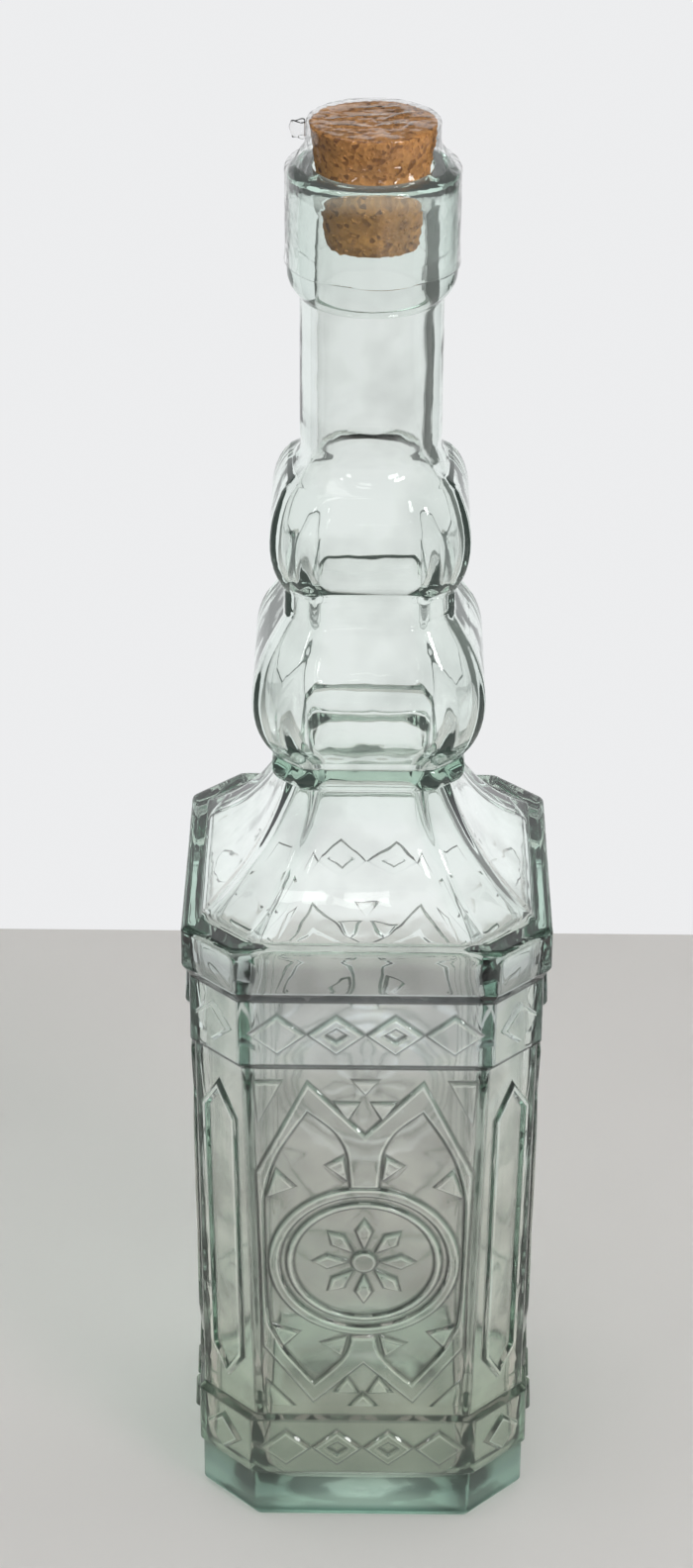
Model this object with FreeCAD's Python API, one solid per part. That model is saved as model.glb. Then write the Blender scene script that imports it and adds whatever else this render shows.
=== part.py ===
"""Square pressed-glass oil bottle with a bulbed neck, a tapered cork and a clear film seal.

Lengths are millimetres. The bottle stands on Z = 0 with its axis on Z, and its four faces look along X and Y.
"""
import FreeCAD
import Part
import math
import os
from collections import namedtuple

V = FreeCAD.Vector
Z_AXIS = V(0, 0, 1)

# Body: half-widths across the faces, and the length of each storey
heel_half = 35.4
heel_height = 12.6
heel_edge = 1.2
lower_band_half = 36.1
lower_band_height = 15.1
panel_foot_half = 34.9
panel_head_half = 35.8
panel_height = 91.6
upper_band_half = 36.7
upper_band_height = 16.3
band_edge = 0.9
rim_half = 38.25
rim_height = 12.6
rim_round = 3.0
rim_ledge = 3.65

# Shoulder roof, ring and the two bulbs
roof_mid_half = 24.25
roof_mid_rise = 10.0
roof_top_half = 16.6
roof_height = 25.8
ring_half = 19.7
ring_height = 6.0
groove_half = 18.9
lower_bulb_half = 23.6
lower_bulb_head_half = 20.4
lower_bulb_rise = 13.2
lower_bulb_height = 25.6
waist_half = 17.1
waist_slope_height = 5.4
waist_height = 5.8
upper_bulb_half = 20.1
upper_bulb_head_half = 16.6
upper_bulb_rise = 11.2
upper_bulb_height = 22.8
neck_radius = 14.2
neck_turn_half = 14.9
neck_turn_rise = 1.4
neck_turn_height = 4.0
neck_sink = 1.2
neck_height = 32.4

# Corner cuts: the leg of the 45 degree cut at each storey
corner_foot = 12.0
corner_head = 10.4
corner_rim = 11.3
corner_roof_foot = 9.8
corner_roof_mid = 7.0
corner_roof_top = 4.8
corner_ring = 5.8
corner_bulb = 6.4
corner_waist = 5.3
corner_bulb_head = 6.6
corner_neck = 7.6

# Round collar and mouth
collar_radius = 16.7
collar_height = 26.0
collar_under = 5.5
collar_under_bulge = 0.8
lip_round = 4.0
bore_radius = 10.7
throat_lap = 1.0
mouth_depth = 6.0
mouth_edge = 0.6

# Glass thickness
wall = 3.6
roof_wall = 3.2
bulb_wall = 2.7
floor_thickness = 7.5
floor_round = 5.0
push_up_radius = 24.0
push_up_height = 3.0

# Pressed ornament
relief = 0.55
relief_root = 0.8
lozenges_per_face = 4
lozenge_half_height = 4.5
lozenge_gap = 0.25
lozenge_eye_half = 2.6
lozenge_eye_rise = 1.8
ring_outer_half = 20.2
ring_outer_rise = 19.2
ring_band = 2.1
bead_gap = 1.7
bead_band = 1.2
boss_radius = 2.6
petal_count = 8
petal_gap = 0.9
petal_length = 7.4
petal_widest = 4.4
petal_half_width = 1.7
corner_lozenge_half = 5.4
lancet_half = 5.2
lancet_point = 7.5
lancet_margin = 7.0
lancet_band = 1.5
lancet_tip_band = 2.0

# Cork
cork_top_radius = 12.7
cork_foot_radius = 9.1
cork_height = 24.0
cork_above_lip = 8.8
cork_edge = 0.7
cork_clearance = 0.2

# Film seal
film_thickness = 0.3
film_clearance = 0.2
film_drop = 6.2
film_lip_angle = 50.0
film_hem_above_collar_foot = 0.6
film_ear_reach = 3.4
film_ear_height = 3.8
film_ear_thickness = 0.5

# The roof starts inside the rim, and the hollow keeps inside the narrowest storey
roof_foot_half = rim_half - rim_ledge
hollow_foot_half = min(heel_half, lower_band_half, panel_foot_half)
hollow_head_half = min(panel_head_half, upper_band_half)

# Heights of the storeys, from the foot up
z_lower_band = heel_height
z_panel = z_lower_band + lower_band_height
z_upper_band = z_panel + panel_height
z_rim = z_upper_band + upper_band_height
z_roof = z_rim + rim_height
z_ring = z_roof + roof_height
z_lower_bulb = z_ring + ring_height
z_waist_slope = z_lower_bulb + lower_bulb_height
z_waist = z_waist_slope + waist_slope_height
z_upper_bulb = z_waist + waist_height
z_neck_turn = z_upper_bulb + upper_bulb_height
z_neck = z_neck_turn + neck_turn_height
z_collar = z_neck + neck_height
z_lip = z_collar + collar_height
z_cork_top = z_lip + cork_above_lip
z_cork_foot = z_cork_top - cork_height

# A station of the outline: half-width across the faces, leg of the corner cut, height
Station = namedtuple("Station", "half corner z")
FACE_ANGLES = (0, 90, 180, 270)
CORNER_ANGLES = (45, 135, 225, 315)
QUARTER_ARC = math.sqrt(0.5)
PRISM_LENGTH = 4 * rim_half


def face_reach(station):
    """Distance from the axis to the four faces."""
    return station.half


def corner_reach(station):
    """Distance from the axis to the four corner cuts."""
    return (2 * station.half - station.corner) * QUARTER_ARC


def body_corner(z):
    """Leg of the corner cut on the tapering body."""
    share = min(z / z_upper_band, 1.0)
    return corner_foot + (corner_head - corner_foot) * share


ROOF = (
    Station(roof_foot_half, corner_roof_foot, z_roof),
    Station(roof_mid_half, corner_roof_mid, z_roof + roof_mid_rise),
    Station(roof_top_half, corner_roof_top, z_ring),
)
LOWER_BULB = (
    Station(groove_half, corner_ring, z_lower_bulb),
    Station(lower_bulb_half, corner_bulb, z_lower_bulb + lower_bulb_rise),
    Station(lower_bulb_head_half, corner_bulb, z_waist_slope),
)
UPPER_BULB = (
    Station(waist_half, corner_waist, z_upper_bulb),
    Station(upper_bulb_half, corner_bulb, z_upper_bulb + upper_bulb_rise),
    Station(upper_bulb_head_half, corner_bulb_head, z_neck_turn),
)


def outline(reach):
    """Outer outline as a start point and a list of lines (one point) and arcs (two points)."""
    def at(half, corner, z):
        return (reach(Station(half, corner, z)), z)

    def on_body(half, z):
        return at(half, body_corner(z), z)

    def arc(stations):
        return [(reach(s), s.z) for s in stations[1:]]

    rim_top = z_roof - rim_round
    rim_turn = rim_round * (1 - QUARTER_ARC)
    start = on_body(heel_half - heel_edge, 0)
    steps = [
        [on_body(heel_half, heel_edge)],
        [on_body(heel_half, z_lower_band - band_edge / 2)],
        [on_body(lower_band_half, z_lower_band + band_edge / 2)],
        [on_body(lower_band_half, z_panel - band_edge / 2)],
        [on_body(panel_foot_half, z_panel + band_edge / 2)],
        [on_body(panel_head_half, z_upper_band - band_edge / 2)],
        [on_body(upper_band_half, z_upper_band + band_edge / 2)],
        [on_body(upper_band_half, z_rim)],
        [at(rim_half, corner_rim, z_rim + rim_round)],
        [at(rim_half, corner_rim, rim_top)],
        [at(rim_half - rim_turn, corner_rim, z_roof - rim_turn),
         (reach(ROOF[0]), ROOF[0].z)],
        arc(ROOF),
        [at(ring_half, corner_ring, z_ring + ring_height / 2),
         (reach(LOWER_BULB[0]), LOWER_BULB[0].z)],
        arc(LOWER_BULB),
        [at(waist_half, corner_waist, z_waist)],
        [(reach(UPPER_BULB[0]), UPPER_BULB[0].z)],
        arc(UPPER_BULB),
        [at(neck_turn_half, corner_neck, z_neck_turn + neck_turn_rise),
         at(neck_radius - neck_sink, corner_neck, z_neck)],
    ]
    return start, steps


def circle_centre(a, b, c):
    """Centre of the circle through three points of an outline."""
    d = 2 * (a[0] * (b[1] - c[1]) + b[0] * (c[1] - a[1]) + c[0] * (a[1] - b[1]))
    sa, sb, sc = (p[0] ** 2 + p[1] ** 2 for p in (a, b, c))
    x = (sa * (b[1] - c[1]) + sb * (c[1] - a[1]) + sc * (a[1] - b[1])) / d
    y = (sa * (c[0] - b[0]) + sb * (a[0] - c[0]) + sc * (b[0] - a[0])) / d
    return (x, y)


def inset_arc(stations, reach, thickness):
    """The three points of an arc, moved into the glass by its thickness."""
    points = [(reach(s), s.z) for s in stations]
    centre = circle_centre(*points)
    moved = []
    for p in points:
        radius = math.dist(p, centre)
        inward = -thickness if centre[0] < p[0] else thickness
        share = (radius + inward) / radius
        moved.append((centre[0] + (p[0] - centre[0]) * share, centre[1] + (p[1] - centre[1]) * share))
    return moved


def cavity_outline(reach):
    """Inner outline, from the floor up to the foot of the bore."""
    foot = reach(Station(hollow_foot_half, corner_foot, 0)) - wall
    head = reach(Station(hollow_head_half, corner_head, 0)) - wall
    turn = floor_round * (1 - QUARTER_ARC)
    roof = inset_arc(ROOF, reach, roof_wall)
    lower = inset_arc(LOWER_BULB, reach, bulb_wall)
    upper = inset_arc(UPPER_BULB, reach, bulb_wall)
    waist = reach(Station(waist_half, corner_waist, 0)) - bulb_wall
    start = (foot - floor_round, floor_thickness)
    steps = [
        [(foot - turn, floor_thickness + turn), (foot, floor_thickness + floor_round)],
        [(head, z_upper_band)],
        [roof[0]],
        roof[1:],
        [lower[0]],
        lower[1:],
        [(waist, z_waist)],
        [(waist, z_upper_bulb)],
        upper[1:],
        [(bore_radius - throat_lap, z_neck)],
    ]
    return start, steps


def half_edges(start, steps, side):
    """Edges of one side of an outline in the XZ plane."""
    def point(p):
        return V(side * p[0], 0, p[1])

    edges = []
    here = start
    for step in steps:
        if len(step) == 1:
            edges.append(Part.makeLine(point(here), point(step[0])))
        else:
            edges.append(Part.Arc(point(here), point(step[0]), point(step[1])).toShape())
        here = step[-1]
    return edges, here


def prism(start, steps, angle):
    """The mirrored outline, extruded across the bottle and turned about Z."""
    right, top = half_edges(start, steps, 1)
    left, _ = half_edges(start, steps, -1)
    cap = Part.makeLine(V(top[0], 0, top[1]), V(-top[0], 0, top[1]))
    foot = Part.makeLine(V(start[0], 0, start[1]), V(-start[0], 0, start[1]))
    wire = Part.Wire(Part.sortEdges(right + left + [cap, foot])[0])
    solid = Part.Face(wire).extrude(V(0, PRISM_LENGTH, 0))
    solid.translate(V(0, -PRISM_LENGTH / 2, 0))
    solid.rotate(V(0, 0, 0), Z_AXIS, angle)
    return solid


def corner_cut_form(make_outline):
    """A square form with cut corners: four crossing prisms of one outline."""
    faces = make_outline(face_reach)
    corners = make_outline(corner_reach)
    form = prism(*faces, 0).common(prism(*faces, 90))
    return form.common(prism(*corners, 45).common(prism(*corners, 135)))


def revolved(points):
    """A solid of revolution about Z from lines (points) and arcs (pairs of points)."""
    edges = []
    here = points[0]
    for step in points[1:] + [points[0]]:
        if len(step) == 2:
            edges.append(Part.makeLine(V(here[0], 0, here[1]), V(step[0], 0, step[1])))
            here = step
        else:
            through, end = step[:2], step[2:]
            edges.append(Part.Arc(V(here[0], 0, here[1]), V(through[0], 0, through[1]),
                                  V(end[0], 0, end[1])).toShape())
            here = end
    return Part.Face(Part.Wire(edges)).revolve(V(0, 0, 0), Z_AXIS, 360)


def neck_and_collar():
    """Round neck, and a collar with a soft underside and a rounded lip."""
    lip_turn = lip_round * (1 - QUARTER_ARC)
    under = z_collar + collar_under
    middle = ((neck_radius + collar_radius) / 2 + collar_under_bulge, (z_collar + under) / 2)
    return revolved([
        (0, z_neck_turn),
        (neck_radius, z_neck_turn),
        (neck_radius, z_collar),
        (*middle, collar_radius, under),
        (collar_radius, z_lip - lip_round),
        (collar_radius - lip_turn, z_lip - lip_turn, collar_radius - lip_round, z_lip),
        (0, z_lip),
    ])


def cork_radius(z):
    """Radius of the cork's taper at a height."""
    share = (z - z_cork_foot) / cork_height
    return cork_foot_radius + (cork_top_radius - cork_foot_radius) * share


def bore():
    """Bore of the neck, with a mouth that takes the cork's taper."""
    mouth_foot = z_lip - mouth_depth
    mouth = cork_radius(z_lip) + cork_clearance
    throat = max(bore_radius, cork_radius(mouth_foot) + cork_clearance)
    return revolved([
        (0, z_neck_turn),
        (bore_radius, z_neck_turn),
        (throat, mouth_foot),
        (mouth, z_lip - mouth_edge),
        (mouth + mouth_edge, z_lip),
        (0, z_lip),
    ])


def push_up():
    """Shallow dome under the base, so that the bottle stands on its edge."""
    radius = (push_up_radius ** 2 + push_up_height ** 2) / (2 * push_up_height)
    return Part.makeSphere(radius, V(0, 0, push_up_height - radius))


def face_half_at(z):
    """Half the width of a face's flat part at a height of the panel."""
    share = (z - z_panel) / panel_height
    half = panel_foot_half + (panel_head_half - panel_foot_half) * share
    return half - body_corner(z)


def panel_point(u, v):
    """A point of the panel from its share of the half-width and of the height."""
    z = z_panel + v * panel_height
    return (u * face_half_at(z), z)


def polygon_face(points):
    """A flat face in the XZ plane."""
    corners = [V(x, 0, z) for x, z in points]
    return Part.Face(Part.makePolygon(corners + corners[:1]))


def ellipse_face(half, rise, centre_z):
    """An oval face in the XZ plane."""
    major, minor = max(half, rise), min(half, rise)
    oval = Part.Ellipse(V(0, 0, 0), major, minor)
    face = Part.Face(Part.Wire(oval.toShape()))
    face.rotate(V(0, 0, 0), V(1, 0, 0), 90)
    if rise > half:
        face.rotate(V(0, 0, 0), V(0, 1, 0), 90)
    face.translate(V(0, 0, centre_z))
    return face


# Tracery of the panel, for its right half, in shares of the half-width and of the height
ARCH_STRAPS = (
    ((0.0, 0.813), (0.478, 0.958), (0.970, 0.710), (0.935, 0.610), (0.866, 0.636), (0.815, 0.703), (0.710, 0.778),
     (0.482, 0.882), (0.285, 0.834), (0.195, 0.798), (0.147, 0.762), (0.125, 0.703), (0.120, 0.670), (0.0, 0.670)),
    ((0.0, 0.166), (0.462, 0.047), (0.960, 0.212), (0.935, 0.280), (0.850, 0.282), (0.818, 0.260), (0.700, 0.194),
     (0.450, 0.103), (0.220, 0.165), (0.132, 0.203), (0.108, 0.241), (0.0, 0.241)),
    ((0.866, 0.636), (0.935, 0.610), (0.950, 0.456), (0.935, 0.280), (0.850, 0.282), (0.868, 0.370), (0.868, 0.548)),
)
TRIANGLES = (
    ((0.180, 0.754), (0.328, 0.729), (0.150, 0.690)),
    ((0.752, 0.717), (0.596, 0.670), (0.860, 0.639)),
    ((0.383, 0.221), (0.150, 0.243), (0.200, 0.185)),
    ((0.845, 0.276), (0.580, 0.253), (0.730, 0.209)),
    ((0.950, 0.963), (0.705, 0.963), (0.930, 0.841)),
    ((0.930, 0.116), (0.930, 0.036), (0.640, 0.032)),
    ((0.255, 0.903), (0.048, 0.903), (0.145, 0.857)),
    ((0.262, 0.075), (0.048, 0.075), (0.145, 0.121)),
)
CHEVRONS = (
    ((-0.108, 0.980), (0.108, 0.980), (0.0, 0.942)),
    ((-0.125, 0.006), (0.125, 0.006), (0.0, 0.044)),
)
MEDALLION_SHARE = 0.4585


def rosette(centre_z):
    """A round boss with petals about it."""
    faces = [ellipse_face(boss_radius, boss_radius, centre_z)]
    near = boss_radius + petal_gap
    for k in range(petal_count):
        turn = 2 * math.pi * k / petal_count
        shape = ((near, 0), (near + petal_widest, petal_half_width),
                 (near + petal_length, 0), (near + petal_widest, -petal_half_width))
        faces.append(polygon_face([
            (x * math.cos(turn) - y * math.sin(turn), centre_z + x * math.sin(turn) + y * math.cos(turn))
            for x, y in shape
        ]))
    return faces


def panel_faces():
    """Every raised shape of one panel, flat in the XZ plane."""
    faces = []
    for shape in ARCH_STRAPS + TRIANGLES:
        for side in (1, -1):
            faces.append(polygon_face([panel_point(side * u, v) for u, v in shape]))
    for shape in CHEVRONS:
        faces.append(polygon_face([panel_point(u, v) for u, v in shape]))
    centre_z = z_panel + MEDALLION_SHARE * panel_height
    ring = ellipse_face(ring_outer_half, ring_outer_rise, centre_z)
    hole = ellipse_face(ring_outer_half - ring_band, ring_outer_rise - ring_band, centre_z)
    inset = ring_band + bead_gap
    bead = ellipse_face(ring_outer_half - inset, ring_outer_rise - inset, centre_z)
    inset += bead_band
    bead_hole = ellipse_face(ring_outer_half - inset, ring_outer_rise - inset, centre_z)
    return faces + [ring.cut(hole), bead.cut(bead_hole)] + rosette(centre_z)


def lozenge(x, z, half, rise):
    """One flat lozenge in the XZ plane."""
    return polygon_face([(x - half, z), (x, z - rise), (x + half, z), (x, z + rise)])


def band_faces(face_half, middle_z):
    """A row of lozenges across a face, the inner ones with an eye."""
    pitch = 2 * face_half / lozenges_per_face
    half = (pitch - lozenge_gap) / 2
    row = []
    for k in range(lozenges_per_face):
        x = (k + 0.5) * pitch - face_half
        shape = lozenge(x, middle_z, half, lozenge_half_height)
        if 0 < k < lozenges_per_face - 1:
            shape = shape.cut(lozenge(x, middle_z, lozenge_eye_half, lozenge_eye_rise))
        row.append(shape)
    return row


def lancet_faces():
    """A tall frame with pointed ends, for a corner cut."""
    low, high = z_panel + lancet_margin, z_upper_band - lancet_margin

    def outline_of(inset, tip):
        half = lancet_half - inset
        return polygon_face([(0, low + tip), (half, low + lancet_point), (half, high - lancet_point),
                             (0, high - tip), (-half, high - lancet_point), (-half, low + lancet_point)])

    return [outline_of(0, 0).cut(outline_of(lancet_band, lancet_tip_band))]


def raise_on(faces, foot, head, angle):
    """Flat shapes stood on a leaning wall of the bottle, rooted in the glass.

    foot and head are the wall's distance from the axis and its height, at its two ends.
    """
    flat = faces[0].multiFuse(faces[1:]) if len(faces) > 1 else faces[0]
    solid = flat.extrude(V(0, -(relief + relief_root), 0))
    solid.translate(V(0, relief_root - foot[0], 0))
    lean = math.degrees(math.atan2(head[0] - foot[0], head[1] - foot[1]))
    solid.rotate(V(0, -foot[0], foot[1]), V(1, 0, 0), lean)
    solid.rotate(V(0, 0, 0), Z_AXIS, angle)
    return solid


def ornament():
    """All pressed relief, as solids rooted in the wall."""
    pieces = []
    low_z = (z_lower_band + z_panel) / 2
    high_z = (z_upper_band + z_rim) / 2
    panel_foot = Station(panel_foot_half, body_corner(z_panel), z_panel)
    panel_head = Station(panel_head_half, body_corner(z_upper_band), z_upper_band)
    low_band = Station(lower_band_half, body_corner(low_z), low_z)
    high_band = Station(upper_band_half, body_corner(high_z), high_z)

    def wall_points(reach, foot, head):
        return (reach(foot), foot.z), (reach(head), head.z)

    def level(station):
        return station, station._replace(z=station.z + 1)

    panel = panel_faces()
    for angle in FACE_ANGLES:
        pieces.append(raise_on(panel, *wall_points(face_reach, panel_foot, panel_head), angle))
        for band in (low_band, high_band):
            row = band_faces(band.half - band.corner, band.z)
            pieces.append(raise_on(row, *wall_points(face_reach, *level(band)), angle))
    for angle in CORNER_ANGLES:
        pieces.append(raise_on(lancet_faces(), *wall_points(corner_reach, panel_foot, panel_head), angle))
        for band in (low_band, high_band):
            single = [lozenge(0, band.z, corner_lozenge_half, lozenge_half_height)]
            pieces.append(raise_on(single, *wall_points(corner_reach, *level(band)), angle))
    return pieces


def bottle():
    """The glass in one piece."""
    outer = corner_cut_form(outline).fuse(neck_and_collar())
    raised = outer.multiFuse(ornament())
    hollow = corner_cut_form(cavity_outline).fuse(bore())
    return raised.cut(hollow).cut(push_up())


def cork_stopper():
    """Tapered cork with broken edges."""
    return revolved([
        (0, z_cork_foot),
        (cork_foot_radius - cork_edge, z_cork_foot),
        (cork_radius(z_cork_foot + cork_edge), z_cork_foot + cork_edge),
        (cork_radius(z_cork_top - cork_edge), z_cork_top - cork_edge),
        (cork_top_radius - cork_edge, z_cork_top),
        (0, z_cork_top),
    ])


def around_lip(gap, degrees):
    """A point over the lip's rounding, a gap out from the glass."""
    turn = math.radians(degrees)
    reach = lip_round + gap
    return (collar_radius - lip_round + reach * math.cos(turn), z_lip - lip_round + reach * math.sin(turn))


def film_skin(gap):
    """The space under the film's surface, a gap out from the cork and the collar."""
    top = z_cork_top + gap
    cap = cork_top_radius + gap
    sleeve = collar_radius + gap
    hem = z_collar + collar_under + film_hem_above_collar_foot
    return revolved([
        (0, hem),
        (sleeve, hem),
        (sleeve, z_lip - lip_round),
        (*around_lip(gap, film_lip_angle / 2), *around_lip(gap, film_lip_angle)),
        (cap, z_cork_top - film_drop),
        (cap, top - cork_edge),
        (cap - cork_edge, top),
        (0, top),
    ])


def film_ear():
    """The welded end of the film, standing out beside the cork's top edge."""
    start = cork_top_radius + film_clearance
    ear = Part.makeBox(film_ear_reach, film_ear_thickness, film_ear_height)
    ear.translate(V(-start - film_ear_reach, -film_ear_thickness / 2, z_cork_top - cork_edge - film_ear_height))
    return ear


def shrink_film():
    """Clear shrink film over the cork and the collar."""
    skin = film_skin(film_clearance + film_thickness).cut(film_skin(film_clearance))
    outside = film_ear().cut(film_skin(film_clearance))
    return skin.fuse(outside)


def main():
    os.makedirs("parts", exist_ok=True)
    for make in (bottle, cork_stopper, shrink_film):
        shape = make()
        solids = shape.Solids
        name = make.__name__
        print(name, "solids", len(solids), "valid", shape.isValid(), "volume", round(shape.Volume / 1000, 2), "ml")
        solids[0].exportStep(f"parts/{name}.step")


main()
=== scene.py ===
"""Dresses a corked, pressed-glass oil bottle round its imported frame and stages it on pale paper.

Sizes are written in millimetres and become metres when a mesh is made. The bottle's axis is Z, it stands on Z = 0,
and the photographed face looks along -Y.
"""
import logging
import math
from dataclasses import dataclass
from enum import Enum
from typing import Callable, NamedTuple, Sequence, Union

import bmesh
import bpy
import numpy as np
from mathutils import Matrix, Vector, noise
from mathutils.geometry import delaunay_2d_cdt


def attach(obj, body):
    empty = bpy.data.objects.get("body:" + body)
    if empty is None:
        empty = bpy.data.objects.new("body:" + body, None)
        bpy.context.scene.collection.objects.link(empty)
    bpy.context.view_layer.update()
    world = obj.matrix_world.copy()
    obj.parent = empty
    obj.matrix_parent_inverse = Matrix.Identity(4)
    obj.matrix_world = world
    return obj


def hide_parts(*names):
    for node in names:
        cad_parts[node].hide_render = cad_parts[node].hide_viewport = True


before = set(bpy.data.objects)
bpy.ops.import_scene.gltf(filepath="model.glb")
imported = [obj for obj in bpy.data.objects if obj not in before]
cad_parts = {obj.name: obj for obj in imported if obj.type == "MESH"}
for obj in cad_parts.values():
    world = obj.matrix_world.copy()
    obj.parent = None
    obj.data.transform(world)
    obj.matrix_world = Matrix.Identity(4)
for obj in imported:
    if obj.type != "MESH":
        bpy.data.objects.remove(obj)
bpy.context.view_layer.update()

LOG = logging.getLogger("oil_bottle")
MM = 0.001
QUARTERS = 4
STRAIGHT = math.radians(2)
REACH_MOST = 0.48

Point = tuple[float, float]
Place = tuple[float, float, float]
Colour = tuple[float, float, float]
Contour = tuple[Point, ...]
Shape = tuple[Contour, ...]
Mesh, Object, Material = bpy.types.Mesh, bpy.types.Object, bpy.types.Material
Tree, Node, Socket = bpy.types.NodeTree, bpy.types.Node, bpy.types.NodeSocket
Feed = Union[Socket, Material, float, tuple[float, ...]]


class Side(Enum):
    """The two kinds of wall round the bottle."""

    FACE = "face"
    CORNER = "corner"


class Storey(Enum):
    """The storeys of the bottle that carry relief."""

    LOWER_BAND = "lower band"
    PANEL = "panel"
    UPPER_BAND = "upper band"


class Knot(NamedTuple):
    """A corner of an outline: distance from the axis, height, and the radius that rounds it."""

    half: float
    z: float
    radius: float = 0.0


class Ring(NamedTuple):
    """One level of the glass: half-width, height, corner cut, rounding of the edges, share of a circle."""

    half: float
    z: float
    corner: float
    turn: float
    circle: float


def circle_through(a: Point, b: Point, c: Point) -> tuple[Point, float]:
    """Finds the circle through three points.

    Args:
        a: First point.
        b: Second point.
        c: Third point.

    Returns:
        The centre and the radius.
    """
    d = 2 * (a[0] * (b[1] - c[1]) + b[0] * (c[1] - a[1]) + c[0] * (a[1] - b[1]))
    sa, sb, sc = (p[0] ** 2 + p[1] ** 2 for p in (a, b, c))
    x = (sa * (b[1] - c[1]) + sb * (c[1] - a[1]) + sc * (a[1] - b[1])) / d
    y = (sa * (c[0] - b[0]) + sb * (a[0] - c[0]) + sc * (b[0] - a[0])) / d
    return (x, y), math.dist((x, y), a)


def arc_knots(a: Point, b: Point, c: Point, pieces: int, end_radius: float = 0.0) -> list[Knot]:
    """Samples the arc from a through b to c, without its first point.

    Args:
        a: Start of the arc.
        b: A point on the way.
        c: End of the arc.
        pieces: How many pieces the arc is cut into.
        end_radius: Radius that rounds the outline at the arc's end.

    Returns:
        Knots along the arc, sharp but for the last.
    """
    centre, radius = circle_through(a, b, c)
    angles = [math.atan2(p[1] - centre[1], p[0] - centre[0]) for p in (a, b, c)]
    span = (angles[2] - angles[0]) % (2 * math.pi)
    if (angles[1] - angles[0]) % (2 * math.pi) > span:
        span -= 2 * math.pi
    turns = [angles[0] + span * k / pieces for k in range(1, pieces)]
    knots = [Knot(centre[0] + radius * math.cos(t), centre[1] + radius * math.sin(t)) for t in turns]
    return knots + [Knot(*c, end_radius)]


def inset_arc(points: Sequence[Point], thickness: float) -> list[Point]:
    """Moves an arc's three points into the glass by its thickness.

    Args:
        points: Three points of the outer arc.
        thickness: Thickness of the wall.

    Returns:
        The three points of the inner arc.
    """
    centre, radius = circle_through(*points)
    moved = []
    for x, z in points:
        inward = -thickness if centre[0] < x else thickness
        share = (radius + inward) / radius
        moved.append((centre[0] + (x - centre[0]) * share, centre[1] + (z - centre[1]) * share))
    return moved


def rounded(knots: Sequence[Knot], pieces: int = 5) -> list[Point]:
    """Rounds the corners of an outline.

    Args:
        knots: The outline's corners with their radii.
        pieces: How many pieces each rounding has.

    Returns:
        The rounded outline.
    """
    out: list[Point] = [(knots[0].half, knots[0].z)]
    for before, here, after in zip(knots, knots[1:], knots[2:]):
        p = np.array(here[:2])
        a = np.array(before[:2]) - p
        b = np.array(after[:2]) - p
        la, lb = np.linalg.norm(a), np.linalg.norm(b)
        cosine = float(np.clip(a @ b / (la * lb), -1, 1))
        turn = math.pi - math.acos(cosine)
        if here.radius <= 0 or turn < STRAIGHT:
            out.append((here.half, here.z))
            continue
        reach = min(here.radius * math.tan(turn / 2), REACH_MOST * la, REACH_MOST * lb)
        start, end = p + a / la * reach, p + b / lb * reach
        for k in range(pieces + 1):
            t = k / pieces
            q = start * (1 - t) ** 2 + p * 2 * t * (1 - t) + end * t ** 2
            out.append((float(q[0]), float(q[1])))
    out.append((knots[-1].half, knots[-1].z))
    return out


def with_supports(points: Sequence[Point], longest: float, near: float = 0.5) -> list[Point]:
    """Divides long runs of an outline, with a point close to each end so that flats stay flat.

    Args:
        points: The outline.
        longest: Longest run that stays whole.
        near: Distance of the support points from a run's ends.

    Returns:
        The divided outline.
    """
    out = [points[0]]
    for a, b in zip(points, points[1:]):
        length = math.dist(a, b)
        if length > longest:
            shares = [near / length]
            inner = max(1, int(length / longest))
            shares += [k / inner for k in range(1, inner)]
            shares += [1 - near / length]
            out += [(a[0] + (b[0] - a[0]) * s, a[1] + (b[1] - a[1]) * s) for s in shares]
        out.append(b)
    return out


def smooth_run(points: Sequence[Point], pieces: int = 4) -> list[Point]:
    """Draws a curve through points.

    Args:
        points: Points on the curve.
        pieces: How many pieces lie between two of them.

    Returns:
        The curve, with both its ends.
    """
    pts = [np.array(p) for p in points]
    pts = [2 * pts[0] - pts[1], *pts, 2 * pts[-1] - pts[-2]]
    out: list[Point] = []
    for p0, p1, p2, p3 in zip(pts, pts[1:], pts[2:], pts[3:]):
        for k in range(pieces):
            t = k / pieces
            q = 0.5 * (2 * p1 + (p2 - p0) * t + (2 * p0 - 5 * p1 + 4 * p2 - p3) * t ** 2
                       + (3 * p1 - p0 - 3 * p2 + p3) * t ** 3)
            out.append((float(q[0]), float(q[1])))
    out.append((float(pts[-2][0]), float(pts[-2][1])))
    return out


def ease(share: float) -> float:
    """Holds a share between 0 and 1 and lets it start and end gently."""
    held = float(np.clip(share, 0, 1))
    return held * held * (3 - 2 * held)


def quarter_turn(quarter: int) -> tuple[int, int]:
    """Gives the cosine and the sine of a number of quarter turns."""
    return round(math.cos(quarter * math.pi / 2)), round(math.sin(quarter * math.pi / 2))


def make_object(name: str, mesh: Mesh) -> Object:
    """Links a new object for a mesh into the scene.

    Args:
        name: Name of the object.
        mesh: Its mesh.

    Returns:
        The new object.
    """
    obj = bpy.data.objects.new(name, mesh)
    bpy.context.scene.collection.objects.link(obj)
    return obj


def mesh_from(name: str, points: np.ndarray, faces: Sequence[Sequence[int]]) -> Mesh:
    """Makes a smoothly shaded mesh in metres from millimetre points.

    Args:
        name: Name of the mesh.
        points: Vertices, in millimetres.
        faces: Vertex numbers of each face.

    Returns:
        The new mesh.
    """
    mesh = bpy.data.meshes.new(name)
    mesh.from_pydata((np.asarray(points) * MM).tolist(), [], [list(f) for f in faces])
    mesh.validate()
    mesh.shade_smooth()
    return mesh


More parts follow.
